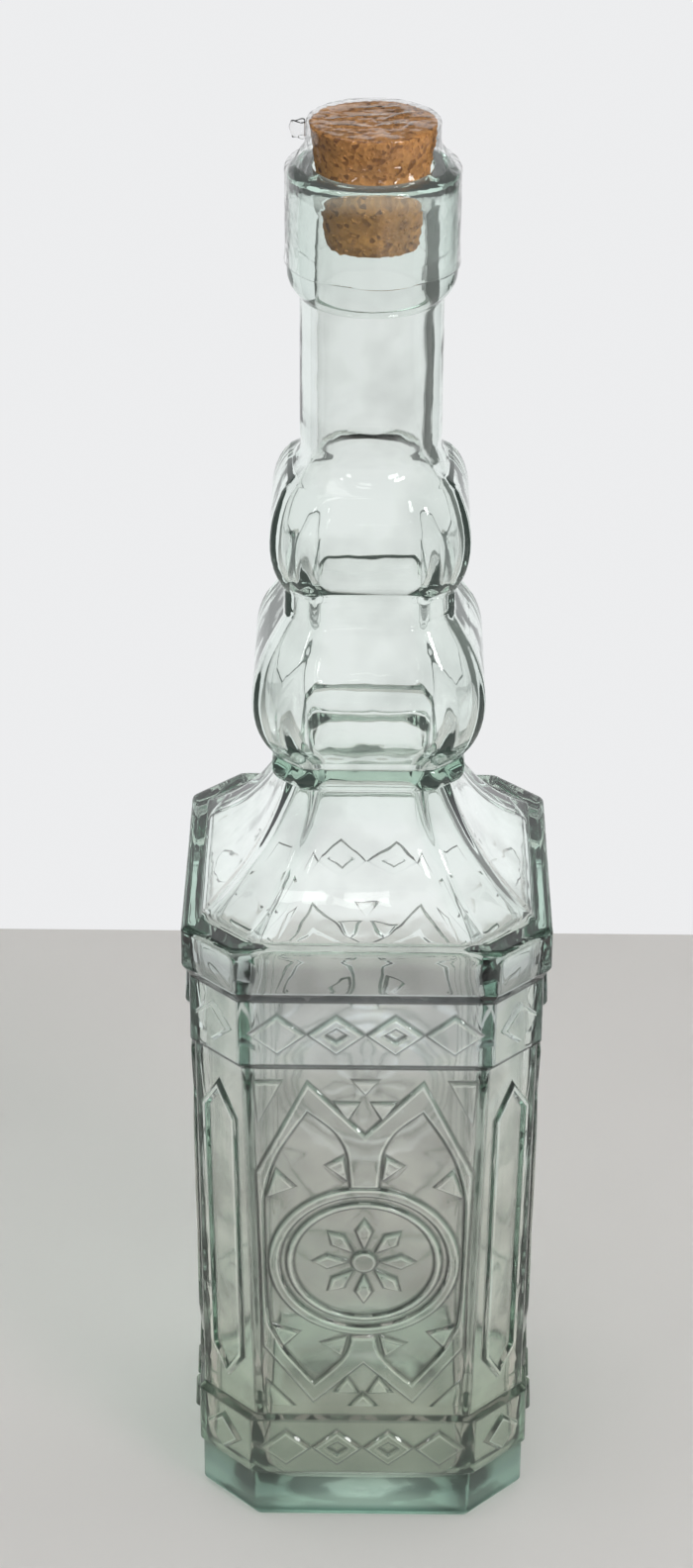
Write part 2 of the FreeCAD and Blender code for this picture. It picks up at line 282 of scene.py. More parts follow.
def shown_mesh(source: Object, name: str) -> Mesh:
    """Keeps the mesh that an object's modifiers make, and clears the object away.

    Args:
        source: The object.
        name: Name of the mesh.

    Returns:
        The plain mesh.
    """
    mesh = bpy.data.meshes.new_from_object(source.evaluated_get(bpy.context.evaluated_depsgraph_get()))
    source.modifiers.clear()
    bpy.data.objects.remove(source)
    mesh.name = name
    mesh.shade_smooth()
    return mesh


@dataclass(frozen=True)
class Relief:
    """Raised shapes of one wall, each an outer contour with its holes."""

    height: float
    bevel: float
    shapes: tuple[Shape, ...]

    # How far the painted lines along an edge reach, in bevels, and the side that light falls from
    EDGE_REACH = 1.7
    LIT_FROM = (0.5, 0.85)
    # Places across an edge, in bevels, and the strength of the painted shade line and of the painted highlight line
    # there
    PAINTED_SHADE_LINE = ((-EDGE_REACH, -1, -1 / 3, 1 / 3, 1), (0, 0.7, 1, 0.3, 0))
    PAINTED_HIGHLIGHT_LINE = ((-1 / 3, 1 / 3, 1, EDGE_REACH), (0, 0.3, 1, 0))
    # Strength of the painted shade and painted highlight lines on an edge that light passes along, and its change on
    # one that faces the light
    PAINTED_SHADE_STRENGTH = (0.85, -0.2)
    PAINTED_HIGHLIGHT_STRENGTH = (0.75, 0.35)
    # Painted shade laid on the raised glass
    RAISED_SHADE = 0.1
    MITRE_LEAST = 0.6

    @staticmethod
    def contour_depth(points: np.ndarray, contour: np.ndarray) -> np.ndarray:
        """Measures how far inside a closed contour points lie.

        Args:
            points: Points of the wall.
            contour: Corners of the contour.

        Returns:
            Distances to the contour, positive inside it.
        """
        best = np.full(len(points), np.inf)
        inside = np.zeros(len(points), bool)
        for a, b in zip(contour, np.roll(contour, -1, axis=0)):
            run = b - a
            share = np.clip(((points - a) @ run) / (run @ run), 0, 1)
            best = np.minimum(best, np.hypot(*(points - a - share[:, None] * run).T))
            crosses = (a[1] > points[:, 1]) != (b[1] > points[:, 1])
            at = a[0] + run[0] * (points[:, 1] - a[1]) / (run[1] if run[1] else 1e-12)
            inside ^= crosses & (points[:, 0] < at)
        return np.where(inside, best, -best)

    def depth(self, points: np.ndarray) -> np.ndarray:
        """Measures how far inside the raised shapes points lie.

        Args:
            points: Points of the wall.

        Returns:
            Distances to the nearest edge, positive on raised glass.
        """
        depth = np.full(len(points), -np.inf)
        for outer, *holes in self.shapes:
            own = self.contour_depth(points, np.array(outer))
            for hole in holes:
                own = np.minimum(own, -self.contour_depth(points, np.array(hole)))
            depth = np.maximum(depth, own)
        return depth

    def shape_at(self, points: np.ndarray, step: float = 0.02) -> tuple[np.ndarray, np.ndarray, np.ndarray]:
        """Gives the relief at points of the wall.

        Args:
            points: Points of the wall.
            step: Distance over which slopes are taken.

        Returns:
            Heights, slopes along both directions of the wall, and the painted shade of the edges (a painted highlight
            below 0).
        """
        depth = self.depth(points)
        sx, sz = np.array((step, 0.0)), np.array((0.0, step))
        inward = np.stack((self.depth(points + sx) - self.depth(points - sx),
                           self.depth(points + sz) - self.depth(points - sz)), axis=1) / (2 * step)
        t = np.clip((depth + self.bevel) / (2 * self.bevel), 0, 1)
        rise = self.height * t * t * (3 - 2 * t)
        slopes = inward * (self.height * 3 * t * (1 - t) / self.bevel)[:, None]
        lit = np.clip(-(inward @ np.array(self.LIT_FROM)), -1, 1)
        place = depth / self.bevel
        # Painted shade on the outer half of each edge and a painted highlight on the inner half; edges that face the
        # light get less shade and more highlight
        dark = np.interp(place, *self.PAINTED_SHADE_LINE) * (self.PAINTED_SHADE_STRENGTH[0] + self.PAINTED_SHADE_STRENGTH[1] * lit)
        light = np.interp(place, *self.PAINTED_HIGHLIGHT_LINE) * (self.PAINTED_HIGHLIGHT_STRENGTH[0] + self.PAINTED_HIGHLIGHT_STRENGTH[1] * lit)
        return rise, slopes, dark - light + self.RAISED_SHADE * t

    def bevel_lines(self) -> list[np.ndarray]:
        """Draws the lines that a bevelled edge needs, along every contour.

        Returns:
            Closed lines, as points of the wall.
        """
        lines = []
        for shape in self.shapes:
            for contour in shape:
                pts = np.array(contour)
                before = pts - np.roll(pts, 1, axis=0)
                after = np.roll(pts, -1, axis=0) - pts
                before /= np.linalg.norm(before, axis=1)[:, None]
                after /= np.linalg.norm(after, axis=1)[:, None]
                nb = np.stack((-before[:, 1], before[:, 0]), axis=1)
                na = np.stack((-after[:, 1], after[:, 0]), axis=1)
                mitre = nb + na
                mitre /= np.maximum((mitre * na).sum(axis=1), self.MITRE_LEAST)[:, None]
                far = self.EDGE_REACH
                lines += [pts + mitre * (self.bevel * s) for s in (-far, -1, -1 / 3, 1 / 3, 1, far)]
        return lines


def ellipse(half: float, rise: float, centre_z: float, pieces: int = 72) -> Contour:
    """Draws an oval contour about the middle of a wall."""
    turns = [2 * math.pi * k / pieces for k in range(pieces)]
    return tuple((half * math.cos(t), centre_z + rise * math.sin(t)) for t in turns)


def lozenge(x: float, z: float, half: float, rise: float) -> Contour:
    """Draws a lozenge."""
    return ((x + half, z), (x, z + rise), (x - half, z), (x, z - rise))


@dataclass(frozen=True)
class PanelOrnament:
    """Tracery, medallion, lozenges and lancets that are pressed into the walls."""

    foot_z: float = 27.7
    height: float = 91.6
    foot_half: float = 23.2
    head_half: float = 25.4
    relief: float = 1.0
    bevel: float = 0.5
    medallion_z: float = 69.7
    ring_half: float = 20.2
    ring_rise: float = 19.2
    ring_band: float = 2.1
    bead_gap: float = 1.7
    bead_band: float = 1.2
    boss_radius: float = 2.6
    petals: int = 8
    petal_gap: float = 0.9
    petal_length: float = 7.4
    petal_widest: float = 4.4
    petal_half: float = 1.7
    lozenge_gap: float = 0.45
    eye_half: float = 2.6
    eye_rise: float = 1.8
    lancet_tip: float = 2.0

    # Right half of the tracery, in shares of the half-width and of the height
    OUTER = ((0.0, 0.813), (0.478, 0.958), (0.915, 0.710), (0.905, 0.456), (0.905, 0.212), (0.462, 0.047),
             (0.0, 0.166))
    ARCH_RUNS = (
        ((0.120, 0.670), (0.125, 0.703), (0.147, 0.762), (0.195, 0.798), (0.285, 0.834), (0.482, 0.882)),
        ((0.482, 0.882), (0.710, 0.778), (0.815, 0.703), (0.866, 0.636)),
        ((0.866, 0.636), (0.872, 0.548), (0.872, 0.370), (0.850, 0.282)),
        ((0.850, 0.282), (0.818, 0.260), (0.700, 0.194), (0.450, 0.103)),
        ((0.450, 0.103), (0.220, 0.165), (0.132, 0.203), (0.108, 0.241)),
    )
    TRIANGLES = (
        ((0.180, 0.754), (0.150, 0.690), (0.328, 0.729)),
        ((0.752, 0.717), (0.596, 0.670), (0.840, 0.642)),
        ((0.383, 0.221), (0.150, 0.243), (0.200, 0.185)),
        ((0.825, 0.274), (0.580, 0.253), (0.730, 0.213)),
        ((0.915, 0.960), (0.690, 0.960), (0.895, 0.845)),
        ((0.895, 0.112), (0.640, 0.034), (0.895, 0.038)),
        ((0.255, 0.903), (0.048, 0.903), (0.145, 0.857)),
        ((0.262, 0.075), (0.145, 0.121), (0.048, 0.075)),
    )
    CHEVRONS = (
        ((-0.108, 0.964), (0.0, 0.926), (0.108, 0.964)),
        ((-0.125, 0.034), (0.125, 0.034), (0.0, 0.072)),
    )

    def at(self, u: float, v: float) -> Point:
        """Places a point of the tracery on the panel."""
        half = self.foot_half + (self.head_half - self.foot_half) * v
        return (u * half, self.foot_z + v * self.height)

    @staticmethod
    def counter_clockwise(contour: Sequence[Point]) -> Contour:
        """Turns a contour so that its inside lies on its left.

        Args:
            contour: Corners of the contour.

        Returns:
            The same corners, in that order.
        """
        pts = np.array(contour)
        nxt = np.roll(pts, -1, axis=0)
        area = (pts[:, 0] * nxt[:, 1] - nxt[:, 0] * pts[:, 1]).sum()
        return tuple(contour) if area > 0 else tuple(reversed(tuple(contour)))

    def tracery(self) -> Shape:
        """Draws the joined straps of the arches.

        Returns:
            The outer contour and one hole.
        """
        right = [self.at(u, v) for u, v in self.OUTER]
        left = [self.at(-u, v) for u, v in reversed(self.OUTER[1:-1])]
        inner: list[Point] = []
        for run in self.ARCH_RUNS:
            curve = smooth_run([self.at(u, v) for u, v in run])
            inner += curve if not inner else curve[1:]
        mirrored = [(-x, z) for x, z in reversed(inner)]
        return (self.counter_clockwise(right + left), self.counter_clockwise(inner + mirrored))

    def rosette(self) -> list[Shape]:
        """Draws a boss and the petals about it.

        Returns:
            The shapes.
        """
        near = self.boss_radius + self.petal_gap
        shape = ((near, 0.0), (near + self.petal_widest, -self.petal_half), (near + self.petal_length, 0.0),
                 (near + self.petal_widest, self.petal_half))
        out = [(ellipse(self.boss_radius, self.boss_radius, self.medallion_z, 28),)]
        for k in range(self.petals):
            c, s = math.cos(2 * math.pi * k / self.petals), math.sin(2 * math.pi * k / self.petals)
            out.append((tuple((x * c - y * s, self.medallion_z + x * s + y * c) for x, y in shape),))
        return out

    def panel(self) -> Relief:
        """Collects the relief of one face's panel.

        Returns:
            The relief.
        """
        shapes = [self.tracery()]
        for shape in self.TRIANGLES:
            for side in (1, -1):
                shapes.append((self.counter_clockwise([self.at(side * u, v) for u, v in shape]),))
        for shape in self.CHEVRONS:
            shapes.append((self.counter_clockwise([self.at(u, v) for u, v in shape]),))
        inset = self.ring_band + self.bead_gap
        for start, width in ((0.0, self.ring_band), (inset, self.bead_band)):
            half, rise = self.ring_half - start, self.ring_rise - start
            shapes.append((ellipse(half, rise, self.medallion_z),
                           ellipse(half - width, rise - width, self.medallion_z)))
        return Relief(self.relief, self.bevel, tuple(shapes + self.rosette()))

    def band(self, face_half: float, middle_z: float, count: int = 4, rise: float = 4.5) -> Relief:
        """Collects a row of lozenges across a face, the inner ones with an eye.

        Args:
            face_half: Half the width that the row fills.
            middle_z: Height of the row's middle.
            count: How many lozenges there are.
            rise: Half the height of a lozenge.

        Returns:
            The relief of the band.
        """
        pitch = 2 * face_half / count
        shapes = []
        for k in range(count):
            x = (k + 0.5) * pitch - face_half
            contours = [lozenge(x, middle_z, pitch / 2 - self.lozenge_gap, rise)]
            if 0 < k < count - 1:
                contours.append(lozenge(x, middle_z, self.eye_half, self.eye_rise))
            shapes.append(tuple(contours))
        return Relief(self.relief, self.bevel, tuple(shapes))

    def single(self, middle_z: float, half: float = 4.9, rise: float = 4.5) -> Relief:
        """Collects the one lozenge of a corner's band."""
        return Relief(self.relief, self.bevel, ((lozenge(0, middle_z, half, rise),),))

    def lancet(self, half: float = 5.0, point: float = 7.5, margin: float = 7.0, band: float = 1.5) -> Relief:
        """Collects the tall pointed frame of a corner cut.

        Args:
            half: Half the frame's width.
            point: Height of its pointed ends.
            margin: Room left above and below it.
            band: Width of the frame.

        Returns:
            The relief of the corner panel.
        """
        low, high = self.foot_z + margin, self.foot_z + self.height - margin

        def frame_line(inset: float, tip: float) -> Contour:
            """Draws the frame's outer or inner line.

            Args:
                inset: Distance of the line from the frame's outer sides.
                tip: Distance of its points from the frame's ends.

            Returns:
                The line.
            """
            w = half - inset
            return ((0, low + tip), (w, low + point), (w, high - point), (0, high - tip), (-w, high - point),
                    (-w, low + point))

        return Relief(self.relief, self.bevel, ((frame_line(0, 0), frame_line(band, self.lancet_tip)),))


@dataclass
class Skin:
    """A growing skin of glass: vertices, faces, and the normals and edge shades of its relief."""

    points: list[np.ndarray]
    faces: list[list[int]]
    normals: dict[int, np.ndarray]
    shades: dict[int, float]


@dataclass
class GlassBottle:
    """The bottle's glass: one closed skin from the push-up, up the outside and down the inside to the floor."""

    ornament: PanelOrnament
    wall: float = 3.6
    roof_wall: float = 3.2
    bulb_wall: float = 2.7
    floor: float = 7.5
    push_up: float = 3.0
    push_up_radius: float = 24.0
    panel_foot: float = 34.9
    panel_head: float = 35.8
    waist: float = 17.1
    waist_z: float = 211.0
    neck: float = 14.2
    collar: float = 16.7
    bore: float = 10.7
    bore_top: float = 296.0
    lip_z: float = 302.0
    unevenness: float = 0.22
    unevenness_pitch: float = 13.0
    fine_pitch: float = 5.0
    fine_share: float = 0.4
    floor_unevenness: float = 0.44
    floor_step: float = 0.6
    under_corner: float = 0.34
    under_turn: float = 1.8
    floor_corner: float = 0.36
    floor_turn: float = 0.3
    inner_turn: float = 7.0
    inner_turn_share: float = 0.35
    narrow_half: float = 16.0
    edge_use: float = 0.95
    band_margin: float = 1.9
    merge: float = 1e-5
    # How much lighter the corner cuts are painted, and how strong the painted edge lines on them are
    corner_painted_light: float = 0.42
    corner_painted_lines: float = 0.62

    ROOF = ((34.6, 148.2), (24.25, 158.2), (16.6, 174.0))
    LOWER_BULB = ((18.9, 180.0), (23.6, 193.2), (20.4, 205.6))
    UPPER_BULB = ((17.1, 216.8), (20.1, 228.0), (16.6, 239.6))
    # Foot and head of each storey's relief
    ZONES = {Storey.LOWER_BAND: (13.9, 26.5), Storey.PANEL: (28.6, 118.3), Storey.UPPER_BAND: (120.6, 134.9)}
    # Height, corner cut and edge rounding up the outside
    OUTSIDE = ((0.0, 12.0, 1.8), (119.3, 10.4, 1.8), (135.6, 10.4, 1.8), (139.0, 11.3, 2.2), (145.0, 11.3, 2.2),
               (148.2, 9.8, 2.0), (158.2, 7.0, 2.2), (174.0, 4.8, 2.2), (177.0, 5.8, 2.8), (193.2, 6.4, 3.6),
               (205.6, 6.4, 3.6), (211.0, 5.3, 3.0), (216.8, 5.3, 3.0), (228.0, 6.4, 3.6), (239.6, 6.6, 3.6),
               (400.0, 7.6, 3.6))
    # Lowest and highest level of each step between storeys, and the strength of the painted shade along it
    PAINTED_STEP_SHADE = ((12.0, 13.35, 0.2), (26.95, 28.4, 0.5), (118.5, 120.1, 1.0), (135.2, 138.0, 1.0))
    # Height where the square begins to turn round, and over what height it does, outside and inside
    ROUND_OUTSIDE = (238.5, 4.5)
    ROUND_INSIDE = (236.0, 6.0)
    # Half-width and share of a circle of the levels under the foot and on the floor
    UNDERSIDE = ((27.0, 0.72), (29.6, 0.4))
    FLOOR = ((15.0, 0.4), (10.0, 0.8), (5.0, 1.0))
    FACE_COLUMNS = (-1.0, -0.97, -0.76, -0.5, -0.25, 0.0, 0.25, 0.5, 0.76, 0.97, 1.0)
    CORNER_COLUMNS = (-1.0, -0.9, -0.45, 0.0, 0.45, 0.9, 1.0)
    TURN_PIECES = 5

    def outer_points(self) -> list[Point]:
        """Draws the outline up the outside.

        Returns:
            Half-widths and heights, from the foot to the lip's inner edge.
        """
        knots = [
            Knot(32.0, 0.0), Knot(34.7, 0.0, 1.4), Knot(35.4, 1.6, 1.2), Knot(35.4, 12.2, 0.5), Knot(36.1, 13.05, 0.5),
            Knot(36.1, 27.25, 0.5), Knot(self.panel_foot, 28.15, 0.5), Knot(self.panel_head, 118.85, 0.5),
            Knot(36.7, 119.75, 0.5), Knot(36.7, 135.6, 0.8), Knot(38.25, 138.2, 1.2), Knot(38.25, 148.2, 3.4),
            Knot(*self.ROOF[0], 0.6), *arc_knots(*self.ROOF, 14, 0.8),
            *arc_knots(self.ROOF[2], (19.7, 177.0), self.LOWER_BULB[0], 8, 0.8),
            *arc_knots(*self.LOWER_BULB, 14, 1.2),
            Knot(self.waist, self.waist_z, 2.0), Knot(*self.UPPER_BULB[0], 1.6),
            *arc_knots(*self.UPPER_BULB, 12, 0.8),
            *arc_knots(self.UPPER_BULB[2], (14.85, 241.6), (self.neck, 246.5), 6),
            Knot(self.neck, 276.0, 0.9), *arc_knots((self.neck, 276.0), (16.1, 278.4), (self.collar, 281.5), 6),
            Knot(self.collar, self.lip_z, 4.4), Knot(11.6, self.lip_z, 0.9), Knot(11.5, 301.0, 0.5),
            Knot(self.bore, self.bore_top, 2.0),
        ]
        return with_supports(rounded(knots), 5.0)

    def inner_points(self) -> list[Point]:
        """Draws the outline down the inside.

        Returns:
            Half-widths and heights, from the bore to the floor's edge.
        """
        roof = inset_arc(self.ROOF, self.roof_wall)
        lower, upper = (inset_arc(bulb, self.bulb_wall) for bulb in (self.LOWER_BULB, self.UPPER_BULB))
        waist = self.waist - self.bulb_wall
        neck_foot = (self.bore, 245.6)
        knots = [
            Knot(self.bore, self.bore_top), Knot(*neck_foot), *arc_knots(neck_foot, (11.65, 241.7), upper[2], 6, 2.5),
            *arc_knots(upper[2], upper[1], upper[0], 10)[:-1], Knot(waist, upper[0][1], 2.0),
            Knot(waist, self.waist_z, 2.0), Knot(*lower[2], 1.5), *arc_knots(lower[2], lower[1], lower[0], 12, 2.0),
            Knot(*roof[2], 2.5), *arc_knots(roof[2], roof[1], roof[0], 12, 3.0),
            Knot(self.panel_head - self.wall, 119.3, 8.0), Knot(self.panel_foot - self.wall, self.floor, 5.5),
            Knot(20.0, self.floor),
        ]
        return with_supports(rounded(knots, 7), 4.0, 1.2)

    def outer_rings(self) -> list[Ring]:
        """Collects the levels of the outside, with bare runs where relief comes.

        Returns:
            The levels, from the middle of the push-up to the lip's inner edge.
        """
        radius = (self.push_up_radius ** 2 + self.push_up ** 2) / (2 * self.push_up)
        rings = []
        for r in np.linspace(4.0, self.push_up_radius, 6):
            z = self.push_up - radius + math.sqrt(radius ** 2 - r ** 2)
            rings.append(Ring(r, z, r * self.under_corner, 1.0, 1.0))
        rings += [Ring(r, 0.0, r * self.under_corner, self.under_turn, share) for r, share in self.UNDERSIDE]
        points = self.outer_points()
        for low, high in self.ZONES.values():
            kept = [p for p in points if not low <= p[1] <= high]
            split = next(k for k, p in enumerate(kept) if p[1] > low)
            a, b = kept[split - 1], kept[split]
            ends = [(a[0] + (b[0] - a[0]) * (z - a[1]) / (b[1] - a[1]), z) for z in (low, high)]
            points = kept[:split] + ends + kept[split:]
        heights, corners, turns = zip(*self.OUTSIDE)
        start, run = self.ROUND_OUTSIDE
        for half, z in points:
            corner, turn = (float(np.interp(z, heights, row)) for row in (corners, turns))
            rings.append(Ring(half, z, corner, turn, ease((z - start) / run)))
        return rings

    def inner_rings(self) -> list[Ring]:
        """Collects the levels of the inside.

        Returns:
            The levels, from the bore down to the floor.
        """
        heights, corners, _ = zip(*self.OUTSIDE)
        start, run = self.ROUND_INSIDE
        rings = []
        for half, z in self.inner_points()[1:]:
            corner = float(np.interp(z, heights, corners)) * min(1.0, half / self.narrow_half)
            turn = min(self.inner_turn, half * self.inner_turn_share)
            rings.append(Ring(half, z, corner, turn, ease((z - start) / run)))
        rings += [Ring(half, self.floor, half * self.floor_corner, half * self.floor_turn, share)
                  for half, share in self.FLOOR]
        return rings

    def section(self, ring: Ring) -> np.ndarray:
        """Draws one level of the glass.

        Args:
            ring: The level.

        Returns:
            Its points, once round the bottle from the left end of the front face.
        """
        edge = ring.half - ring.corner
        length = ring.corner * math.sqrt(2)
        slope = math.tan(math.pi / 8)
        turn = min(ring.turn, self.edge_use * edge / slope, self.edge_use / 2 * length / slope)
        reach = turn * slope
        flat = edge - reach
        quarter = [(flat * s, -ring.half) for s in self.FACE_COLUMNS]
        centre = (flat, -ring.half + turn)
        steps = [k / self.TURN_PIECES * math.pi / 4 for k in range(1, self.TURN_PIECES)]
        quarter += [(centre[0] + turn * math.sin(t), centre[1] - turn * math.cos(t)) for t in steps]
        middle = ring.half - ring.corner / 2
        half_length = length / 2 - reach
        diagonal = math.sqrt(0.5)
        quarter += [(middle + half_length * s * diagonal, -middle + half_length * s * diagonal)
                    for s in self.CORNER_COLUMNS]
        centre = (ring.half - turn, -flat)
        quarter += [(centre[0] + turn * math.sin(math.pi / 4 + t), centre[1] - turn * math.cos(math.pi / 4 + t))
                    for t in steps]
        flat_ring = np.array(quarter)
        if ring.circle > 0:
            reach_now = np.hypot(*flat_ring.T)[:, None]
            flat_ring = flat_ring * (1 - ring.circle + ring.circle * ring.half / reach_now)
        turned = []
        for q in range(QUARTERS):
            c, s = quarter_turn(q)
            turned.append(flat_ring @ np.array(((c, s), (-s, c))))
        xy = np.concatenate(turned)
        return np.column_stack((xy, np.full(len(xy), ring.z)))

    def uneven(self, points: np.ndarray, on_floor: bool) -> np.ndarray:
        """Moves a level of the inside by the slow waves of pressed glass.

        Args:
            points: The level's points.
            on_floor: Whether they lie on the floor, and so move up and down.

        Returns:
            The moved points.
        """
        moved = points.copy()
        for k, p in enumerate(points):
            wave = noise.noise(Vector(p / self.unevenness_pitch))
            wave += self.fine_share * noise.noise(Vector(p / self.fine_pitch))
            if on_floor:
                moved[k, 2] += self.floor_unevenness * wave
            else:
                moved[k, :2] *= 1 + self.unevenness * wave / max(np.hypot(p[0], p[1]), 1.0)
        return moved

    def wall_plane(self, side: Side, low: Ring, high: Ring) -> tuple[np.ndarray, np.ndarray, np.ndarray, np.ndarray]:
        """Gives the plane of a wall between two levels.

        Args:
            side: Whether it is a face or a corner cut.
            low: Level at the wall's foot.
            high: Level at the wall's head.

        Returns:
            The middle of the wall's foot, and the directions across it, up it and out of it.
        """
        if side is Side.FACE:
            out, across = np.array((0.0, -1.0, 0.0)), np.array((1.0, 0.0, 0.0))
            reach = [low.half, high.half]
        else:
            diagonal = math.sqrt(0.5)
            out, across = np.array((diagonal, -diagonal, 0.0)), np.array((diagonal, diagonal, 0.0))
            reach = [(2 * r.half - r.corner) * diagonal for r in (low, high)]
        up = out * (reach[1] - reach[0]) + np.array((0.0, 0.0, high.z - low.z))
        up /= np.linalg.norm(up)
        foot = out * reach[0] + np.array((0.0, 0.0, low.z))
        return foot, across, up, np.cross(across, up)

    def relief_for(self, side: Side, zone: Storey, low: Ring, high: Ring) -> Relief:
        """Chooses the relief of a wall.

        Args:
            side: Whether it is a face or a corner cut.
            zone: The storey.
            low: Level at its foot.
            high: Level at its head.

        Returns:
            The relief.
        """
        middle = (low.z + high.z) / 2
        if zone is Storey.PANEL:
            return self.ornament.panel() if side is Side.FACE else self.ornament.lancet()
        if side is Side.CORNER:
            return self.ornament.single(middle)
        return self.ornament.band(low.half - low.corner - self.band_margin, middle)

    def build_mesh(self) -> Mesh:
        """Builds the closed skin with its relief and its normals.

        Returns:
            The mesh.
        """
        outer, inner = self.outer_rings(), self.inner_rings()
        rings = outer + inner
        levels = [self.section(r) for r in rings]
        for k in range(len(outer), len(rings)):
            on_floor = rings[k].z < self.floor + self.floor_step
            levels[k] = self.uneven(levels[k], on_floor)
        columns = len(levels[0])
        quarter = columns // QUARTERS
        spans = {Side.FACE: (0, len(self.FACE_COLUMNS) - 1)}
        first = len(self.FACE_COLUMNS) + self.TURN_PIECES - 1
        spans[Side.CORNER] = (first, first + len(self.CORNER_COLUMNS) - 1)
        zone_at = {next(k for k, r in enumerate(outer) if abs(r.z - low) < self.merge): zone
                   for zone, (low, _) in self.ZONES.items()}
        skin = Skin([p for level in levels for p in level], [], {}, {})

        def number(level: int, column: int) -> int:
            """Gives the vertex number of a level and column."""
            return level * columns + column % columns

        for level in range(len(rings) - 1):
            for column in range(columns):
                within = column % quarter
                bare = level in zone_at and any(a <= within < b for a, b in spans.values())
                if not bare:
                    skin.faces.append([number(level, column), number(level, column + 1), number(level + 1, column + 1),
                                       number(level + 1, column)])
        for level, zone in zone_at.items():
            for side, span in spans.items():
                self.add_wall(skin, rings, number, quarter, level, zone, side, span)
        bottom, top = len(skin.points), len(skin.points) + 1
        skin.points += [np.array((0, 0, self.push_up)), np.array((0, 0, self.floor))]
        last = len(rings) - 1
        for column in range(columns):
            skin.faces.append([bottom, number(0, column + 1), number(0, column)])
            skin.faces.append([top, number(last, column), number(last, column + 1)])
        mesh = mesh_from("glass_bottle", np.array(skin.points), skin.faces)
        return self.finish_skin(mesh, skin, len(outer) * columns)

    def add_wall(self, skin: Skin, rings: Sequence[Ring], number: Callable[[int, int], int], quarter: int, level: int,
                 zone: Storey, side: Side, span: tuple[int, int]) -> None:
        """Fills one storey of a wall with its relief, on all four sides of the bottle.

        Args:
            skin: The skin so far, which grows.
            rings: All levels.
            number: Gives the vertex number of a level and column.
            quarter: Columns in a quarter turn.
            level: Level at the storey's foot.
            zone: The storey.
            side: Whether it is a face or a corner cut.
            span: First and last column of the wall.
        """
        low, high = rings[level], rings[level + 1]
        foot, across, up, out = self.wall_plane(side, low, high)
        relief = self.relief_for(side, zone, low, high)
        loop = [(level, k) for k in range(span[0], span[1] + 1)]
        loop += [(level + 1, k) for k in range(span[1], span[0] - 1, -1)]
        rim = np.array([skin.points[number(*n)] for n in loop])
        rise_per_z = 1 / up[2]
        flat = [Vector(((p - foot) @ across, p[2])) for p in rim]
        edges = [(k, (k + 1) % len(loop)) for k in range(len(loop))]
        for line in relief.bevel_lines():
            start = len(flat)
            flat += [Vector(p) for p in line]
            edges += [(start + k, start + (k + 1) % len(line)) for k in range(len(line))]
        found, _, cells, origin, _, _ = delaunay_2d_cdt(flat, edges, [], 0, self.merge)
        spots = np.array([(v.x, v.y) for v in found])
        rise, slope, shade = relief.shape_at(spots)
        # Corner cuts get painted light and weaker painted edge lines
        if side is Side.CORNER:
            shade = shade * self.corner_painted_lines - self.corner_painted_light
        slope[:, 1] /= rise_per_z
        base = foot + spots[:, :1] * across + (spots[:, 1:] - foot[2]) * rise_per_z * up
        raised = base + rise[:, None] * out
        lean = out - slope[:, :1] * across - slope[:, 1:] * up
        lean /= np.linalg.norm(lean, axis=1)[:, None]
        on_rim = [next((i for i in ids if i < len(loop)), None) for ids in origin]
        for q in range(QUARTERS):
            c, s = quarter_turn(q)
            turn = np.array(((c, -s, 0), (s, c, 0), (0, 0, 1)))
            numbers = []
            for k, rim_place in enumerate(on_rim):
                if rim_place is None:
                    numbers.append(len(skin.points))
                    skin.points.append(turn @ raised[k])
                else:
                    ring_level, column = loop[rim_place]
                    numbers.append(number(ring_level, column + q * quarter))
                skin.normals[numbers[-1]] = turn @ lean[k]
                skin.shades[numbers[-1]] = float(shade[k])
            skin.faces += [[numbers[i] for i in cell] for cell in cells]

    @staticmethod
    def finish_skin(mesh: Mesh, skin: Skin, outside: int) -> Mesh:
        """Makes all faces point out of the glass, keeps the relief's own normals and stores the painted shade of the
        edges and steps.

        Args:
            mesh: The closed skin.
            skin: Normals and shades of the wall vertices.
            outside: How many of the first vertices lie on the levels of the outside.

        Returns:
            The same mesh.
        """
        bm = bmesh.new()
        bm.from_mesh(mesh)
        bmesh.ops.recalc_face_normals(bm, faces=bm.faces)
        if bm.calc_volume(signed=True) < 0:
            bmesh.ops.reverse_faces(bm, faces=bm.faces)
        LOG.info("glass: open edges %d", sum(not e.is_manifold for e in bm.edges))
        bm.to_mesh(mesh)
        bm.free()
        mesh.shade_smooth()
        every = [tuple(v.vector) for v in mesh.vertex_normals]
        shades = [0.0] * len(every)
        # Painted shade along the steps between storeys
        for number in range(outside):
            z = mesh.vertices[number].co.z / MM
            shades[number] = next((share for low, high, share in GlassBottle.PAINTED_STEP_SHADE if low < z < high), 0.0)
        for number, normal in skin.normals.items():
            every[number] = tuple(normal)
            shades[number] = shades[number] or skin.shades[number]
        mesh.attributes.new("edge_shade", "FLOAT", "POINT").data.foreach_set("value", shades)
        mesh.normals_split_custom_set_from_vertices(every)
        return mesh

    def build(self, finish: "GlassFinish") -> Object:
        """Builds the glass, dresses it and puts it in the frame.

        Args:
            finish: The glass.

        Returns:
            The new piece.
        """
        obj = make_object("glass_bottle", self.build_mesh())
        obj.data.materials.append(finish.material())
        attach(obj, "bottle")
        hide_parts("bottle")
        return obj


def feed(tree: Tree, node: Node, feeds: dict[str | int, Feed]) -> None:
    """Gives the inputs of a node their links and values.

    Args:
        tree: The node's tree.
        node: The node.
        feeds: For the name or number of an input, the socket that it is linked from or its plain value.
    """
    for place, value in feeds.items():
        if isinstance(value, Socket):
            tree.links.new(value, node.inputs[place])
        else:
            node.inputs[place].default_value = value


